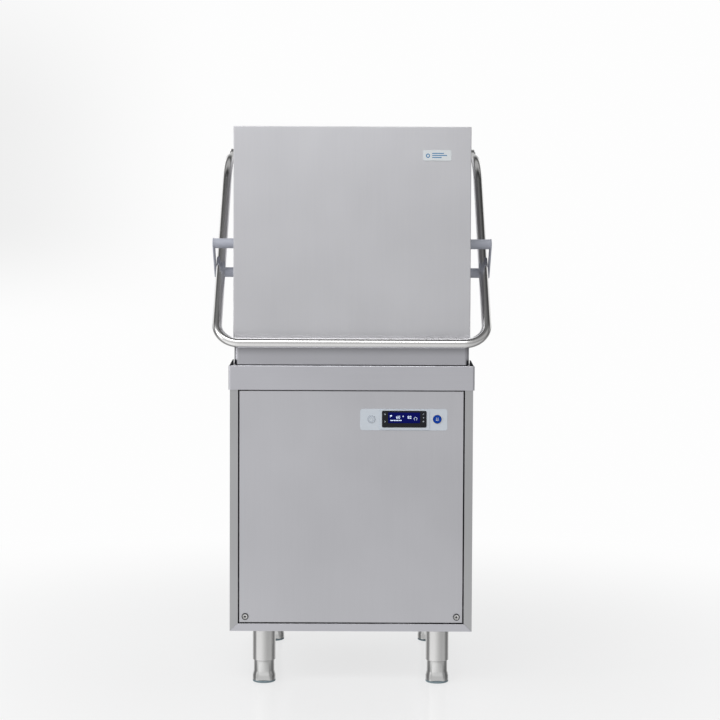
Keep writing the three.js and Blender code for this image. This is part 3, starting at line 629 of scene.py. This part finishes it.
lcd = bpy.data.materials.new("backlit_glass")
lcd.use_nodes = True
tree = lcd.node_tree
shade = tree.nodes["Principled BSDF"]
shade.inputs["Roughness"].default_value = 0.12
shade.inputs["Specular IOR Level"].default_value = 0.12
shade.inputs["Emission Strength"].default_value = 0.30
where = tree.nodes.new("ShaderNodeTexCoord")
cells = made(tree, "ShaderNodeTexVoronoi", {"Scale": 900.0})
cells.feature = "F1"
cells.distance = "CHEBYCHEV"
cells.inputs["Randomness"].default_value = 0.0
tint = tree.nodes.new("ShaderNodeMix")
tint.data_type = "RGBA"
tint.inputs["A"].default_value = (0.0006, 0.003, 0.115, 1)
tint.inputs["B"].default_value = (0.0004, 0.002, 0.075, 1)
plug(tree, where, "Object", cells, "Vector")
plug(tree, cells, "Distance", tint, "Factor")
plug(tree, tint, "Result", shade, "Base Color")
plug(tree, tint, "Result", shade, "Emission Color")
glass_high = (s_high.x, s_high.y - 0.004, s_high.z)
glass = rounded_plate("display_glass", s_low, glass_high, 0.0008, 0.0003, 3)
pick(glass, lambda c, n: n.y > 0.9)
bpy.ops.mesh.inset(thickness=0.0022)
bpy.ops.mesh.extrude_region_move(TRANSFORM_OT_translate={"value": (0, 0.0038, 0)})
to_mode("OBJECT")
even_shading(glass, 32)
settle(glass, "cabinet", "screen", lcd, "display_screen")


def lit(name, tint, strength, speckle=900.0):
    """Lit or printed marks, with a fine dot structure."""
    look = moulded(name, tint, 0.4, 0.05, speckle, 0.06)
    shade = look.node_tree.nodes["Principled BSDF"]
    shade.inputs["Emission Color"].default_value = (*tint, 1)
    shade.inputs["Emission Strength"].default_value = strength
    return look


def written(name, words, size, place, depth=0.00006):
    """Digits or signs as a thin raised mesh that faces the front."""
    bpy.ops.object.select_all(action="DESELECT")
    bpy.ops.object.text_add()
    text = bpy.context.object
    text.data.body = words
    text.data.size = size
    text.data.extrude = depth
    text.data.align_x = "CENTER"
    text.data.align_y = "CENTER"
    bpy.ops.object.convert(target="MESH")
    piece = bpy.context.object
    piece.name = name
    piece.data.transform(Matrix.Translation(place) @ TOWARDS["front"])
    return piece


def ring_mark(radius, wire, place, arc=360.0, start=0.0, steps=40):
    """A thin flat ring, or part of one, that faces the front."""
    bpy.ops.object.select_all(action="DESELECT")
    bpy.ops.mesh.primitive_plane_add(size=1)
    piece = bpy.context.object
    piece.scale = (wire, 0.00012, 1)
    bpy.ops.object.transform_apply(location=False, rotation=False, scale=True)
    piece.data.transform(Matrix.Translation((radius, 0, 0)))
    to_mode("EDIT")
    select_mesh()
    bpy.ops.transform.rotate(value=math.radians(-start), orient_axis="Y", center_override=(0, 0, 0))
    bpy.ops.mesh.spin(steps=steps, angle=math.radians(arc), center=(0, 0, 0), axis=(0, -1, 0))
    select_mesh()
    bpy.ops.mesh.remove_doubles(threshold=0.000005)
    bpy.ops.mesh.normals_make_consistent(inside=False)
    to_mode("OBJECT")
    piece.data.transform(Matrix.Translation(place))
    return piece


def bar_mark(place, width, height, tilt=0.0):
    """A thin raised bar that faces the front."""
    bar = box_piece("bar", (-width / 2, -0.00006, -height / 2), (width / 2, 0.00006, height / 2))
    bar.data.transform(Matrix.Translation(place) @ Matrix.Rotation(math.radians(tilt), 4, "Y"))
    return bar


PROUD = 0.00005
front = s_low.y - PROUD
mid_z = (s_low.z + s_high.z) / 2
DIGIT_SIZE = 0.0106
marks = [
    written("digits", "60", DIGIT_SIZE, (s_low.x + 0.0255, front, mid_z + 0.0010)),
    written("digits", "82", DIGIT_SIZE, (s_low.x + 0.0550, front, mid_z + 0.0010)),
    ring_mark(0.0012, 0.0007, (s_low.x + 0.0385, front, mid_z + 0.0036), steps=16),
    ring_mark(0.0038, 0.0007, (s_high.x - 0.0115, front, mid_z - 0.0024), arc=300, start=120),
    bar_mark((s_low.x + 0.0075, front, mid_z + 0.0052), 0.0040, 0.0030),
    bar_mark((s_low.x + 0.0050, front, mid_z + 0.0036), 0.0006, 0.0062),
]
for k in range(7):
    marks.append(bar_mark((s_low.x + 0.0075 + 0.0042 * k, front, s_low.z + 0.0068), 0.0030, 0.0022))
settle(joined("display_marks", marks), "cabinet", "screen", lit("display_light", (0.72, 0.84, 1.0), 0.75))

low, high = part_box("display_bezel")
front = low.y - PROUD
left_x = low.x + 0.0078
right_x = high.x - 0.0082
touch = [
    ring_mark(0.0012, 0.0010, (left_x, front, mid_z + 0.0090), steps=20),
    bar_mark((left_x, front, mid_z - 0.0088), 0.0034, 0.0008, 35),
    bar_mark((left_x, front, mid_z - 0.0110), 0.0034, 0.0008, -35),
    bar_mark((right_x, front, mid_z + 0.0098), 0.0044, 0.0010, -50),
    bar_mark((right_x, front, mid_z + 0.0004), 0.0020, 0.0020),
    ring_mark(0.0012, 0.0010, (right_x, front, mid_z - 0.0092), steps=20),
]
settle(joined("touch_marks", touch), "cabinet", "white_plastic", lit("touch_print", (0.62, 0.68, 0.74), 0.05))

# ---- push buttons ----
# Two round keys in the fascia: a pale power key with a raised ring and sign, and a blue start key
# with a white glass sign, inside the white collar. Each travels straight in.
key_print = moulded("key_print_grey", (0.46, 0.52, 0.60), 0.45)
key_blue = moulded("key_blue", (0.003, 0.060, 0.42), 0.34, 0.05, 420.0, 0.10, 0.15)
KEYS = {
    "power_button": ("power_key", "fascia_plastic", fascia_look, key_print),
    "start_button": ("start_key", "blue_plastic", key_blue, white_moulding),
}
for key, (body, slot, look, print_look) in KEYS.items():
    low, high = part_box(key)
    radius = (high.x - low.x) / 2
    place = Vector(((low.x + high.x) / 2, low.y, (low.z + high.z) / 2))
    cap = [
        (0.0, 0.0), (radius * 0.55, -0.0001), (radius * 0.80, -0.0004), (radius * 0.86, -0.0004),
        (radius * 0.90, 0.0), (radius * 0.96, -0.0001), (radius, -0.0007), (radius, -0.0056),
        (0.003, -0.0058), (0.003, -0.0068), (0.0, -0.0068),
    ]
    settle(turned_on(f"{key}_cap", cap, place, "front", 64), body, slot, look, key)
    face = place + Vector((0, -0.00002, 0))
    if key == "power_button":
        signs = [
            ring_mark(radius * 0.74, 0.0009, face, steps=56),
            ring_mark(radius * 0.36, 0.0007, face, arc=290, start=125, steps=32),
            bar_mark(face + Vector((0, 0, radius * 0.34)), 0.0008, radius * 0.36),
        ]
    else:
        signs = [
            bar_mark(face + Vector((-radius * 0.22, 0, radius * 0.06)), 0.0011, radius * 0.70, 8),
            bar_mark(face + Vector((radius * 0.22, 0, radius * 0.06)), 0.0011, radius * 0.70, -8),
            bar_mark(face + Vector((0, 0, -radius * 0.29)), radius * 0.44, 0.0011),
            bar_mark(face + Vector((0, 0, radius * 0.04)), radius * 0.40, 0.0008),
        ]
    settle(joined(f"{key}_sign", signs), body, slot, print_look)

# ---- wash tank ----
# A pressed stainless tank with a round sump. Over its water lie a perforated filter plate and a lift-out
# strainer basket round the overflow pipe. A bent electric element warms the water.
fitted("wash_tank", "wash_tank_pressed", 0.0006, "cabinet", "brushed_steel", steel_across)
fitted("tank_filter", "tank_filter_tray", 0.0004, "cabinet", "brushed_steel", steel_across)
low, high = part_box("tank_filter")
bpy.ops.object.select_all(action="DESELECT")
bpy.ops.mesh.primitive_grid_add(x_subdivisions=62, y_subdivisions=59, size=1)
sieve = bpy.context.object
sieve.name = "tank_filter_sieve"
sieve.scale = (high.x - low.x - 0.004, high.y - low.y - 0.004, 1)
sieve.location = (0, (low.y + high.y) / 2, low.z + 0.0026)
bpy.ops.object.transform_apply(location=True, rotation=True, scale=True)
basket_low, basket_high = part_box("sump_filter")
basket = (basket_low + basket_high) / 2
spindle_low, spindle_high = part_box("lower_spindle")
chamber_y = (spindle_low.y + spindle_high.y) / 2
BASKET_ROOM = 0.068
SPINDLE_ROOM = 0.034


def in_a_hole(centre, normal):
    """Whether a cell of the sieve lies where the basket or the spindle passes through."""
    by_basket = math.hypot(centre.x - basket.x, centre.y - basket.y) < BASKET_ROOM
    return by_basket or math.hypot(centre.x, centre.y - chamber_y) < SPINDLE_ROOM


pick(sieve, in_a_hole)
bpy.ops.mesh.delete(type="FACE")
select_mesh()
bpy.ops.mesh.inset(thickness=0.0021, use_individual=True, use_boundary=True)
bpy.ops.mesh.delete(type="FACE")
to_mode("OBJECT")
settle(sieve, "cabinet", "brushed_steel", steel_across)

wall = [(0.0566, basket_high.z - 0.012 - 0.0075 * k) for k in range(21)]
strainer = turned("sump_strainer_mesh", wall, basket, 60)
pick(strainer, lambda c, n: True)
bpy.ops.mesh.inset(thickness=0.0016, use_individual=True, use_boundary=True)
bpy.ops.mesh.delete(type="FACE")
to_mode("OBJECT")
settle(strainer, "cabinet", "brushed_steel", steel_across)
rim_ring = [
    (0.0200, basket_low.z), (0.0570, basket_low.z), (0.0578, basket_low.z + 0.0010),
    (0.0578, basket_low.z + 0.0100), (0.0572, basket_low.z + 0.0100),
    (0.0572, basket_low.z + 0.0016), (0.0200, basket_low.z + 0.0016), (0.0200, basket_low.z),
]
top_ring = [
    (0.0566, basket_high.z - 0.012), (0.0566, basket_high.z - 0.0010), (0.0575, basket_high.z),
    (0.0710, basket_high.z), (0.0719, basket_high.z - 0.0007), (0.0710, basket_high.z - 0.0015),
    (0.0588, basket_high.z - 0.0018), (0.0578, basket_high.z - 0.0030),
    (0.0578, basket_high.z - 0.012), (0.0566, basket_high.z - 0.012),
]
rings = [turned("ring", rim_ring, basket), turned("ring", top_ring, basket)]
settle(joined("sump_strainer_rings", rings), "cabinet", "brushed_steel", steel_across, "sump_filter")
fitted("overflow_pipe", "overflow_pipe_moulded", 0.0006, "cabinet", "grey_plastic", grey_moulding)


def bent_tube(name, corners, radii, radius, bend_steps=14, sides=8):
    """A smooth round tube along straight runs joined by round bends, as a mesh."""
    points = [Vector(corners[0])]
    for k, bend in enumerate(radii, start=1):
        corner = Vector(corners[k])
        back = (Vector(corners[k - 1]) - corner).normalized()
        ahead = (Vector(corners[k + 1]) - corner).normalized()
        half = back.angle(ahead) / 2
        centre = corner + (back + ahead).normalized() * (bend / math.sin(half))
        start = corner + back * (bend / math.tan(half)) - centre
        end = corner + ahead * (bend / math.tan(half)) - centre
        sweep = start.angle(end)
        spin = start.cross(end).normalized()
        for step in range(bend_steps + 1):
            points.append(centre + Matrix.Rotation(sweep * step / bend_steps, 3, spin) @ start)
    points.append(Vector(corners[-1]))
    line = bpy.data.curves.new(name, "CURVE")
    line.dimensions = "3D"
    line.bevel_depth = radius
    line.bevel_resolution = sides
    line.use_fill_caps = True
    run = line.splines.new("POLY")
    run.points.add(len(points) - 1)
    for place, point in zip(points, run.points):
        point.co = (*place, 1)
    piece = bpy.data.objects.new(name, line)
    bpy.context.scene.collection.objects.link(piece)
    only(piece)
    bpy.ops.object.convert(target="MESH")
    bpy.ops.object.shade_smooth_by_angle(angle=math.radians(40))
    return bpy.context.object


low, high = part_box("tank_element")
level = (low.z + high.z) / 2 - 0.001
LEG_XS = (-0.2, -0.06)
left_leg = [(LEG_XS[0], high.y - 0.004, level), (LEG_XS[0], low.y + 0.005, level)]
right_leg = [(LEG_XS[1], low.y + 0.005, level), (LEG_XS[1], high.y - 0.004, level)]
loop = bent_tube("element_loop", left_leg + right_leg, [0.04, 0.04], 0.005)
plate = box_piece("element_plate", (low.x, high.y - 0.006, low.z), (high.x, high.y, high.z))
soften(plate, 0.0008)
NUT = [(0.0, 0.006), (0.0075, 0.006), (0.0085, 0.005), (0.0085, 0.0), (0.0, 0.0)]
nuts = [turned_on("nut", NUT, (x, high.y - 0.006, level), "front", 6) for x in LEG_XS]
element = joined("tank_element_assembly", [loop, plate, *nuts])
settle(element, "cabinet", "tube_steel", tube_steel, "tank_element")

# ---- spindles and spray arms ----
# Moulded spindles carry a broad wash arm and a narrow rinse arm below and above the rack. The arms are
# folded from stainless sheet, turn freely, and spray through slots and small set-in nozzles.
for level, place, out in (("lower", "low", 1), ("upper", "high", -1)):
    spindle = f"{level}_spindle"
    fitted(spindle, f"{spindle}_moulded", 0.0012, "cabinet", "grey_plastic", grey_moulding)
    jet = [
        (0.0, 0.0002 * out), (0.0042, 0.0006 * out), (0.0052, 0.0), (0.0052, -0.0022 * out),
        (0.0, -0.0022 * out),
    ]
    for kind, edge, slot in (("wash", 0.0035, "brushed_steel"), ("rinse", 0.0028, "tube_steel")):
        node = f"{level}_{kind}_arm"
        body = f"{kind}_arm_{place}"
        fitted(node, f"{node}_folded", edge, body, slot, steel_across, 3)
        low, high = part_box(node)
        face_z = high.z if out > 0 else low.z
        profile = [(r, face_z + z) for r, z in jet]
        along = [part * high.x for part in (-0.75, -0.49, 0.49, 0.75)]
        jets = [turned("jet", profile, (x, chamber_y), 20) for x in along]
        settle(joined(f"{node}_jets", jets), body, "grey_plastic", grey_moulding)

# ---- wash riser ----
# The tube that takes water from the pump, under the tank and up in front of the splash back, to the
# upper arms. One bent stainless tube.
low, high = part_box("wash_riser")
RISER_R = 0.0163
UNDER_Z = 0.545
BACK_Y = 0.245
TOP_Z = 1.392
pump_x = low.x + 0.0165
line = [
    (pump_x, chamber_y, low.z), (pump_x, chamber_y, UNDER_Z), (0.0, chamber_y, UNDER_Z),
    (0.0, BACK_Y, UNDER_Z), (0.0, BACK_Y, TOP_Z), (0.0, chamber_y - 0.002, TOP_Z),
]
riser = bent_tube("wash_riser_tube", line, [0.03, 0.036, 0.04, 0.044], RISER_R)
settle(riser, "cabinet", "tube_steel", tube_steel, "wash_riser")

# ---- rack guide and splash back ----
# Two folded rails on cross ties keep the rack of glasses over the arms. Behind it a steel sheet closes
# the chamber when the hood is down.
fitted("rack_guide", "rack_guide_folded", 0.0006, "cabinet", "brushed_steel", steel_across)
fitted("splash_back", "splash_back_sheet", 0.0004, "cabinet", "brushed_steel", steel_upright)

# ---- worktop ----
# One deep-drawn sheet: a broad folded rim with rounded corners, a hem along its lower edge, and a
# well with a turned-down lip above the tank. The hood closes down on it.


def thicken(piece, wall):
    """Gives an open skin its sheet thickness, inwards."""
    only(piece)
    sheet = piece.modifiers.new("sheet", "SOLIDIFY")
    sheet.thickness = wall
    sheet.offset = -1
    bpy.ops.object.modifier_apply(modifier=sheet.name)


low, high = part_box("worktop")
deck = box_piece("worktop_pressed", low, high)
pick(deck, lambda c, n: n.z < -0.9)
bpy.ops.mesh.delete(type="FACE")
to_mode("OBJECT")
bevel_edges(deck, lambda m, d: abs(d.z) > 0.9, 0.0055, 6)
bevel_edges(deck, lambda m, d: abs(m.z - high.z) < 0.0002 and abs(d.z) < 0.5, 0.0020, 4)
thicken(deck, 0.0012)
well_low, well_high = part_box("wash_tank")


def inset_box(name, outer_low, outer_high, inset, bottom, top):
    """A box that stands in from another's sides by one inset, between two levels."""
    corner_low = (outer_low.x + inset, outer_low.y + inset, bottom)
    corner_high = (outer_high.x - inset, outer_high.y - inset, top)
    return box_piece(name, corner_low, corner_high)


well = inset_box("well", well_low, well_high, 0.0014, high.z - 0.02, high.z + 0.02)
bevel_edges(well, lambda m, d: abs(d.z) > 0.9, 0.012, 5)
carve(deck, well)
bpy.ops.object.select_all(action="DESELECT")
bpy.ops.mesh.primitive_cylinder_add(vertices=48, radius=0.019, depth=0.06, location=(0, BACK_Y, high.z))
carve(deck, bpy.context.object)
even_shading(deck, 35)
settle(deck, "cabinet", "brushed_steel", steel_across, "worktop")

lip = inset_box("well_lip", well_low, well_high, 0.0006, high.z - 0.012, high.z + 0.0002)
pick(lip, lambda c, n: abs(n.z) > 0.9)
bpy.ops.mesh.delete(type="FACE")
to_mode("OBJECT")
bevel_edges(lip, lambda m, d: abs(d.z) > 0.9, 0.012, 5)
thicken(lip, 0.0012)
soften(lip, 0.0004)
settle(lip, "cabinet", "brushed_steel", steel_across)

hem = inset_box("worktop_hem", low, high, 0.0003, low.z, low.z + 0.0055)
pick(hem, lambda c, n: abs(n.z) > 0.9)
bpy.ops.mesh.delete(type="FACE")
to_mode("OBJECT")
bevel_edges(hem, lambda m, d: abs(d.z) > 0.9, 0.0055, 6)
thicken(hem, 0.0028)
soften(hem, 0.0009, 3)
settle(hem, "cabinet", "brushed_steel", steel_across)

# ---- corner wedges ----
# Two small black plastic wedges at the worktop's front corners. Their black is painted shade: they stand in
# for the dark shade in these corners.
for side in ("left", "right"):
    wedge = dressed(f"corner_wedge_{side}", f"corner_wedge_{side}_moulded", 0.0007)
    settle(wedge, "cabinet", "black_plastic", black_moulding, f"corner_wedge_{side}")

# ---- rear column ----
# A folded steel housing behind the chamber for the springs and the lever's shaft, closed by a dished
# cover that six screws hold.
fitted("rear_column", "rear_column_folded", 0.0006, "cabinet", "brushed_steel", steel_upright)
cover = dressed("column_cover", "column_cover_dished", 0.0009, 3)
settle(cover, "cabinet", "brushed_steel", steel_upright, "column_cover")
low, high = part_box("column_cover")
flat_head = [(0.0, 0.0), (0.0028, 0.0), (0.0034, -0.0003), (0.0040, -0.0016), (0.0, -0.0016)]
heads = [
    turned_on("screw", flat_head, (x, high.y + 0.0001, z), "back", 20)
    for x in (low.x + 0.015, high.x - 0.015)
    for z in (low.z + 0.02, (low.z + high.z) / 2, high.z - 0.02)
]
settle(joined("column_cover_screws", heads), "cabinet", "tube_steel", screw_dark)

# ---- guide rails and hood carriages ----
# Slotted channels beside the column, in which a black plastic block on each side of the hood slides.
for side in ("left", "right"):
    rail = f"guide_rail_{side}"
    fitted(rail, f"{rail}_channel", 0.0008, "cabinet", "brushed_steel", steel_upright)
    block = f"hood_carriage_{side}"
    fitted(block, f"{block}_block", 0.0012, "hood", "black_plastic", black_moulding)

# ---- counterbalance springs ----
# Two long coils of bright wire in the column. They hang between a fixed ledge and the cranks of the
# lever's shaft, and carry the hood's weight.
TURNS = 110
STEPS_A_TURN = 14
WIRE_R = 0.0024
spring_steel = brushed("spring_wire", (0.50, 0.50, 0.50), 0.25, (200, 200, 200), 0.02)
for side in ("left", "right"):
    low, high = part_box(f"spring_{side}")
    middle = (low + high) / 2
    reach = (high.x - low.x) / 2 - WIRE_R
    line = bpy.data.curves.new(f"spring_{side}_coil", "CURVE")
    line.dimensions = "3D"
    line.bevel_depth = WIRE_R
    line.bevel_resolution = 2
    line.use_fill_caps = True
    steps = TURNS * STEPS_A_TURN
    run = line.splines.new("POLY")
    run.points.add(steps)
    for step, point in enumerate(run.points):
        angle = math.tau * TURNS * step / steps
        rise = low.z + WIRE_R + (high.z - low.z - 2 * WIRE_R) * step / steps
        point.co = (middle.x + reach * math.cos(angle), middle.y + reach * math.sin(angle), rise, 1)
    coil = bpy.data.objects.new(f"spring_{side}_coil", line)
    bpy.context.scene.collection.objects.link(coil)
    only(coil)
    bpy.ops.object.convert(target="MESH")
    bpy.ops.object.shade_smooth()
    coil = bpy.context.object
    settle(coil, "cabinet", "tube_steel", spring_steel, f"spring_{side}")
    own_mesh(coil)

# ---- lever shaft and lifting lever ----
# A round shaft through the column turns with the lever. The lever is one long tube bent twice on each
# side, with an eye at each end fixed to the shaft. Semi-bright polished stainless.
fitted("pivot_shaft", "pivot_shaft_turned", 0.0008, "handle", "tube_steel", turned_steel)
low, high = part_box("handle_tube")
tube_r = 0.0125
arm_x = high.x - tube_r
bar_y = low.y + tube_r
bar_z = low.z + tube_r
pivot = Vector((0.0, 0.3, 1.4297))
elbow = (0.0385, 1.3893)
right_side = [(arm_x, pivot.y - 0.008, pivot.z - 0.0012), (arm_x, *elbow), (arm_x, bar_y, bar_z)]
left_side = [(-x, y, z) for x, y, z in right_side]
tube = bent_tube("lifting_lever_tube", left_side + right_side[::-1], [0.2, 0.06, 0.06, 0.2], tube_r, 24, 12)
settle(tube, "handle", "tube_steel", tube_steel, "handle_tube")
EYE = [
    (0.0104, -0.0110), (0.0110, -0.0118), (0.0162, -0.0118), (0.0170, -0.0110), (0.0170, 0.0110),
    (0.0162, 0.0118), (0.0110, 0.0118), (0.0104, 0.0110), (0.0104, -0.0110),
]
eyes = [turned_on("eye", EYE, (x, pivot.y, pivot.z), "right") for x in (-arm_x, arm_x)]
settle(joined("lifting_lever_eyes", eyes), "handle", "tube_steel", turned_steel)

# ---- hood, inner shell ----
# The inner skin of the hood: front, sides and top in one sheet with generous upright corners, and
# narrow returns at the back. Its lower edge shows as a band above the worktop, with painted shade
# that darkens the band towards the jacket's hem.
low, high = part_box("hood_shell")
shell = box_piece("hood_inner_shell", low, high)
pick(shell, lambda c, n: n.z < -0.9)
bpy.ops.mesh.delete(type="FACE")
to_mode("OBJECT")
bevel_edges(shell, lambda m, d: abs(d.z) > 0.9 and m.y < low.y + 0.001, 0.012, 8)
thicken(shell, 0.0012)
gate_low = (low.x + 0.016, high.y - 0.01, low.z - 0.01)
gate = box_piece("gate", gate_low, (high.x - 0.016, high.y + 0.01, high.z - 0.011))
carve(shell, gate)
even_shading(shell, 30)
HEM_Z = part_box("hood_jacket")[0].z
shell_steel = brushed("shell_steel_across", (0.70, 0.70, 0.745), 0.31, (9, 420, 420))
tree = shell_steel.node_tree
shade = tree.nodes["Principled BSDF"]
plain = shade.inputs["Base Color"].links[0].from_socket
where = tree.nodes.new("ShaderNodeTexCoord")
split = tree.nodes.new("ShaderNodeSeparateXYZ")
# Painted shade: the steel's colour is darkened towards the jacket's hem, in place of the shadow that the hem
# and the lifting bar cast.
hem_shade_painted = tree.nodes.new("ShaderNodeVectorMath")
hem_shade_painted.operation = "SCALE"
plug(tree, where, "Object", split, "Vector")
tree.links.new(plain, hem_shade_painted.inputs[0])
tree.links.new(span(tree, split.outputs["Z"], HEM_Z - 0.034, HEM_Z, 0.88, 0.40), hem_shade_painted.inputs["Scale"])
plug(tree, hem_shade_painted, "Vector", shade, "Base Color")
settle(shell, "hood", "brushed_steel", shell_steel, "hood_shell")

# ---- hood, outer jacket ----
# The outer skin that insulates the hood: one sheet folded over the front, sides and top, with crisp
# edges.
low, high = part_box("hood_jacket")
jacket = box_piece("hood_outer_jacket", low, high)
pick(jacket, lambda c, n: n.z < -0.9 or n.y > 0.9)
bpy.ops.mesh.delete(type="FACE")
to_mode("OBJECT")
bevel_edges(jacket, lambda m, d: abs(d.z) > 0.9 and m.y < low.y + 0.001, 0.0018, 4)


def on_top_edge(middle, along):
    """Whether an edge runs round the jacket's top, apart from its open back."""
    return abs(middle.z - high.z) < 0.0002 and middle.y < high.y - 0.001 and abs(along.z) < 0.5


bevel_edges(jacket, on_top_edge, 0.0014, 4)
thicken(jacket, 0.0009)
even_shading(jacket, 30)
jacket_steel = brushed("fine_jacket_steel", (0.725, 0.725, 0.755), 0.36, (300, 300, 6), 0.035)
settle(jacket, "hood", "front_steel", jacket_steel, "hood_jacket")

# ---- badge ----
# A small white enamelled plate near the hood's upper right corner, printed with a plain ring and
# three bars in blue.
low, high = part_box("badge")
plate = rounded_plate("badge_plate", low, high, 0.0035, 0.0004, 6)
even_shading(plate, 30)
enamel = moulded("badge_enamel", (0.80, 0.84, 0.86), 0.25, 0.02, 300, 0.02)
settle(plate, "hood", "white_plastic", enamel, "badge")
front = low.y - PROUD
mid_z = (low.z + high.z) / 2
printed = [ring_mark(0.0042, 0.0024, (low.x + 0.0125, front, mid_z - 0.0008), steps=28)]
for k, width in enumerate((0.030, 0.038, 0.024)):
    place = (low.x + 0.0235 + width / 2, front, mid_z + 0.0052 - 0.0052 * k)
    printed.append(bar_mark(place, width, 0.0022))
badge_blue = moulded("badge_blue", (0.03, 0.22, 0.46), 0.35, 0.02)
settle(joined("badge_print", printed), "hood", "blue_plastic", badge_blue)

# ---- hood brackets ----
# Pale grey moulded brackets on the hood's sides. The lever's arm runs in the gap between the bracket's
# outer plate and the hood, between an upper and a lower stud.
STUD_R = 0.013
bracket_grey = moulded("bracket_grey", (0.48, 0.50, 0.57), 0.48, 0.2, 420.0)
for side, way in (("left", -1), ("right", 1)):
    low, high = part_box(f"hood_bracket_{side}")
    near = min(abs(low.x), abs(high.x))
    far = max(abs(low.x), abs(high.x))
    upper = (low.y + STUD_R + 0.001, high.z - STUD_R - 0.001)
    lower = (high.y - STUD_R - 0.001, low.z + STUD_R + 0.001)
    parts = []
    for x0, x1, edge in ((near, near + 0.006, 0.001), (far - 0.0044, far, 0.0016)):
        bpy.ops.object.select_all(action="DESELECT")
        bpy.ops.mesh.primitive_cylinder_add(vertices=48, radius=STUD_R + 0.001, depth=x1 - x0)
        slab = bpy.context.object
        slab.data.transform(Matrix.Translation((way * (x0 + x1) / 2, *upper)) @ TOWARDS["right"])
        shift = Vector((0, lower[0] - upper[0], lower[1] - upper[1]))
        along = shift.normalized()
        for v in slab.data.vertices:
            if (v.co - Vector((v.co.x, *upper))).dot(along) > 0.0001:
                v.co += shift
        soften(slab, edge, 3)
        parts.append(slab)
    length = far - near - 0.001
    for place in (upper, lower):
        stud = [(0.0, 0.0), (STUD_R, 0.0), (STUD_R, length - 0.001), (STUD_R - 0.001, length), (0.0, length)]
        parts.append(turned_on("stud", stud, (way * near, *place), side))
    bracket = joined(f"hood_bracket_{side}_moulded", parts)
    settle(bracket, "hood", "grey_plastic", bracket_grey, f"hood_bracket_{side}")
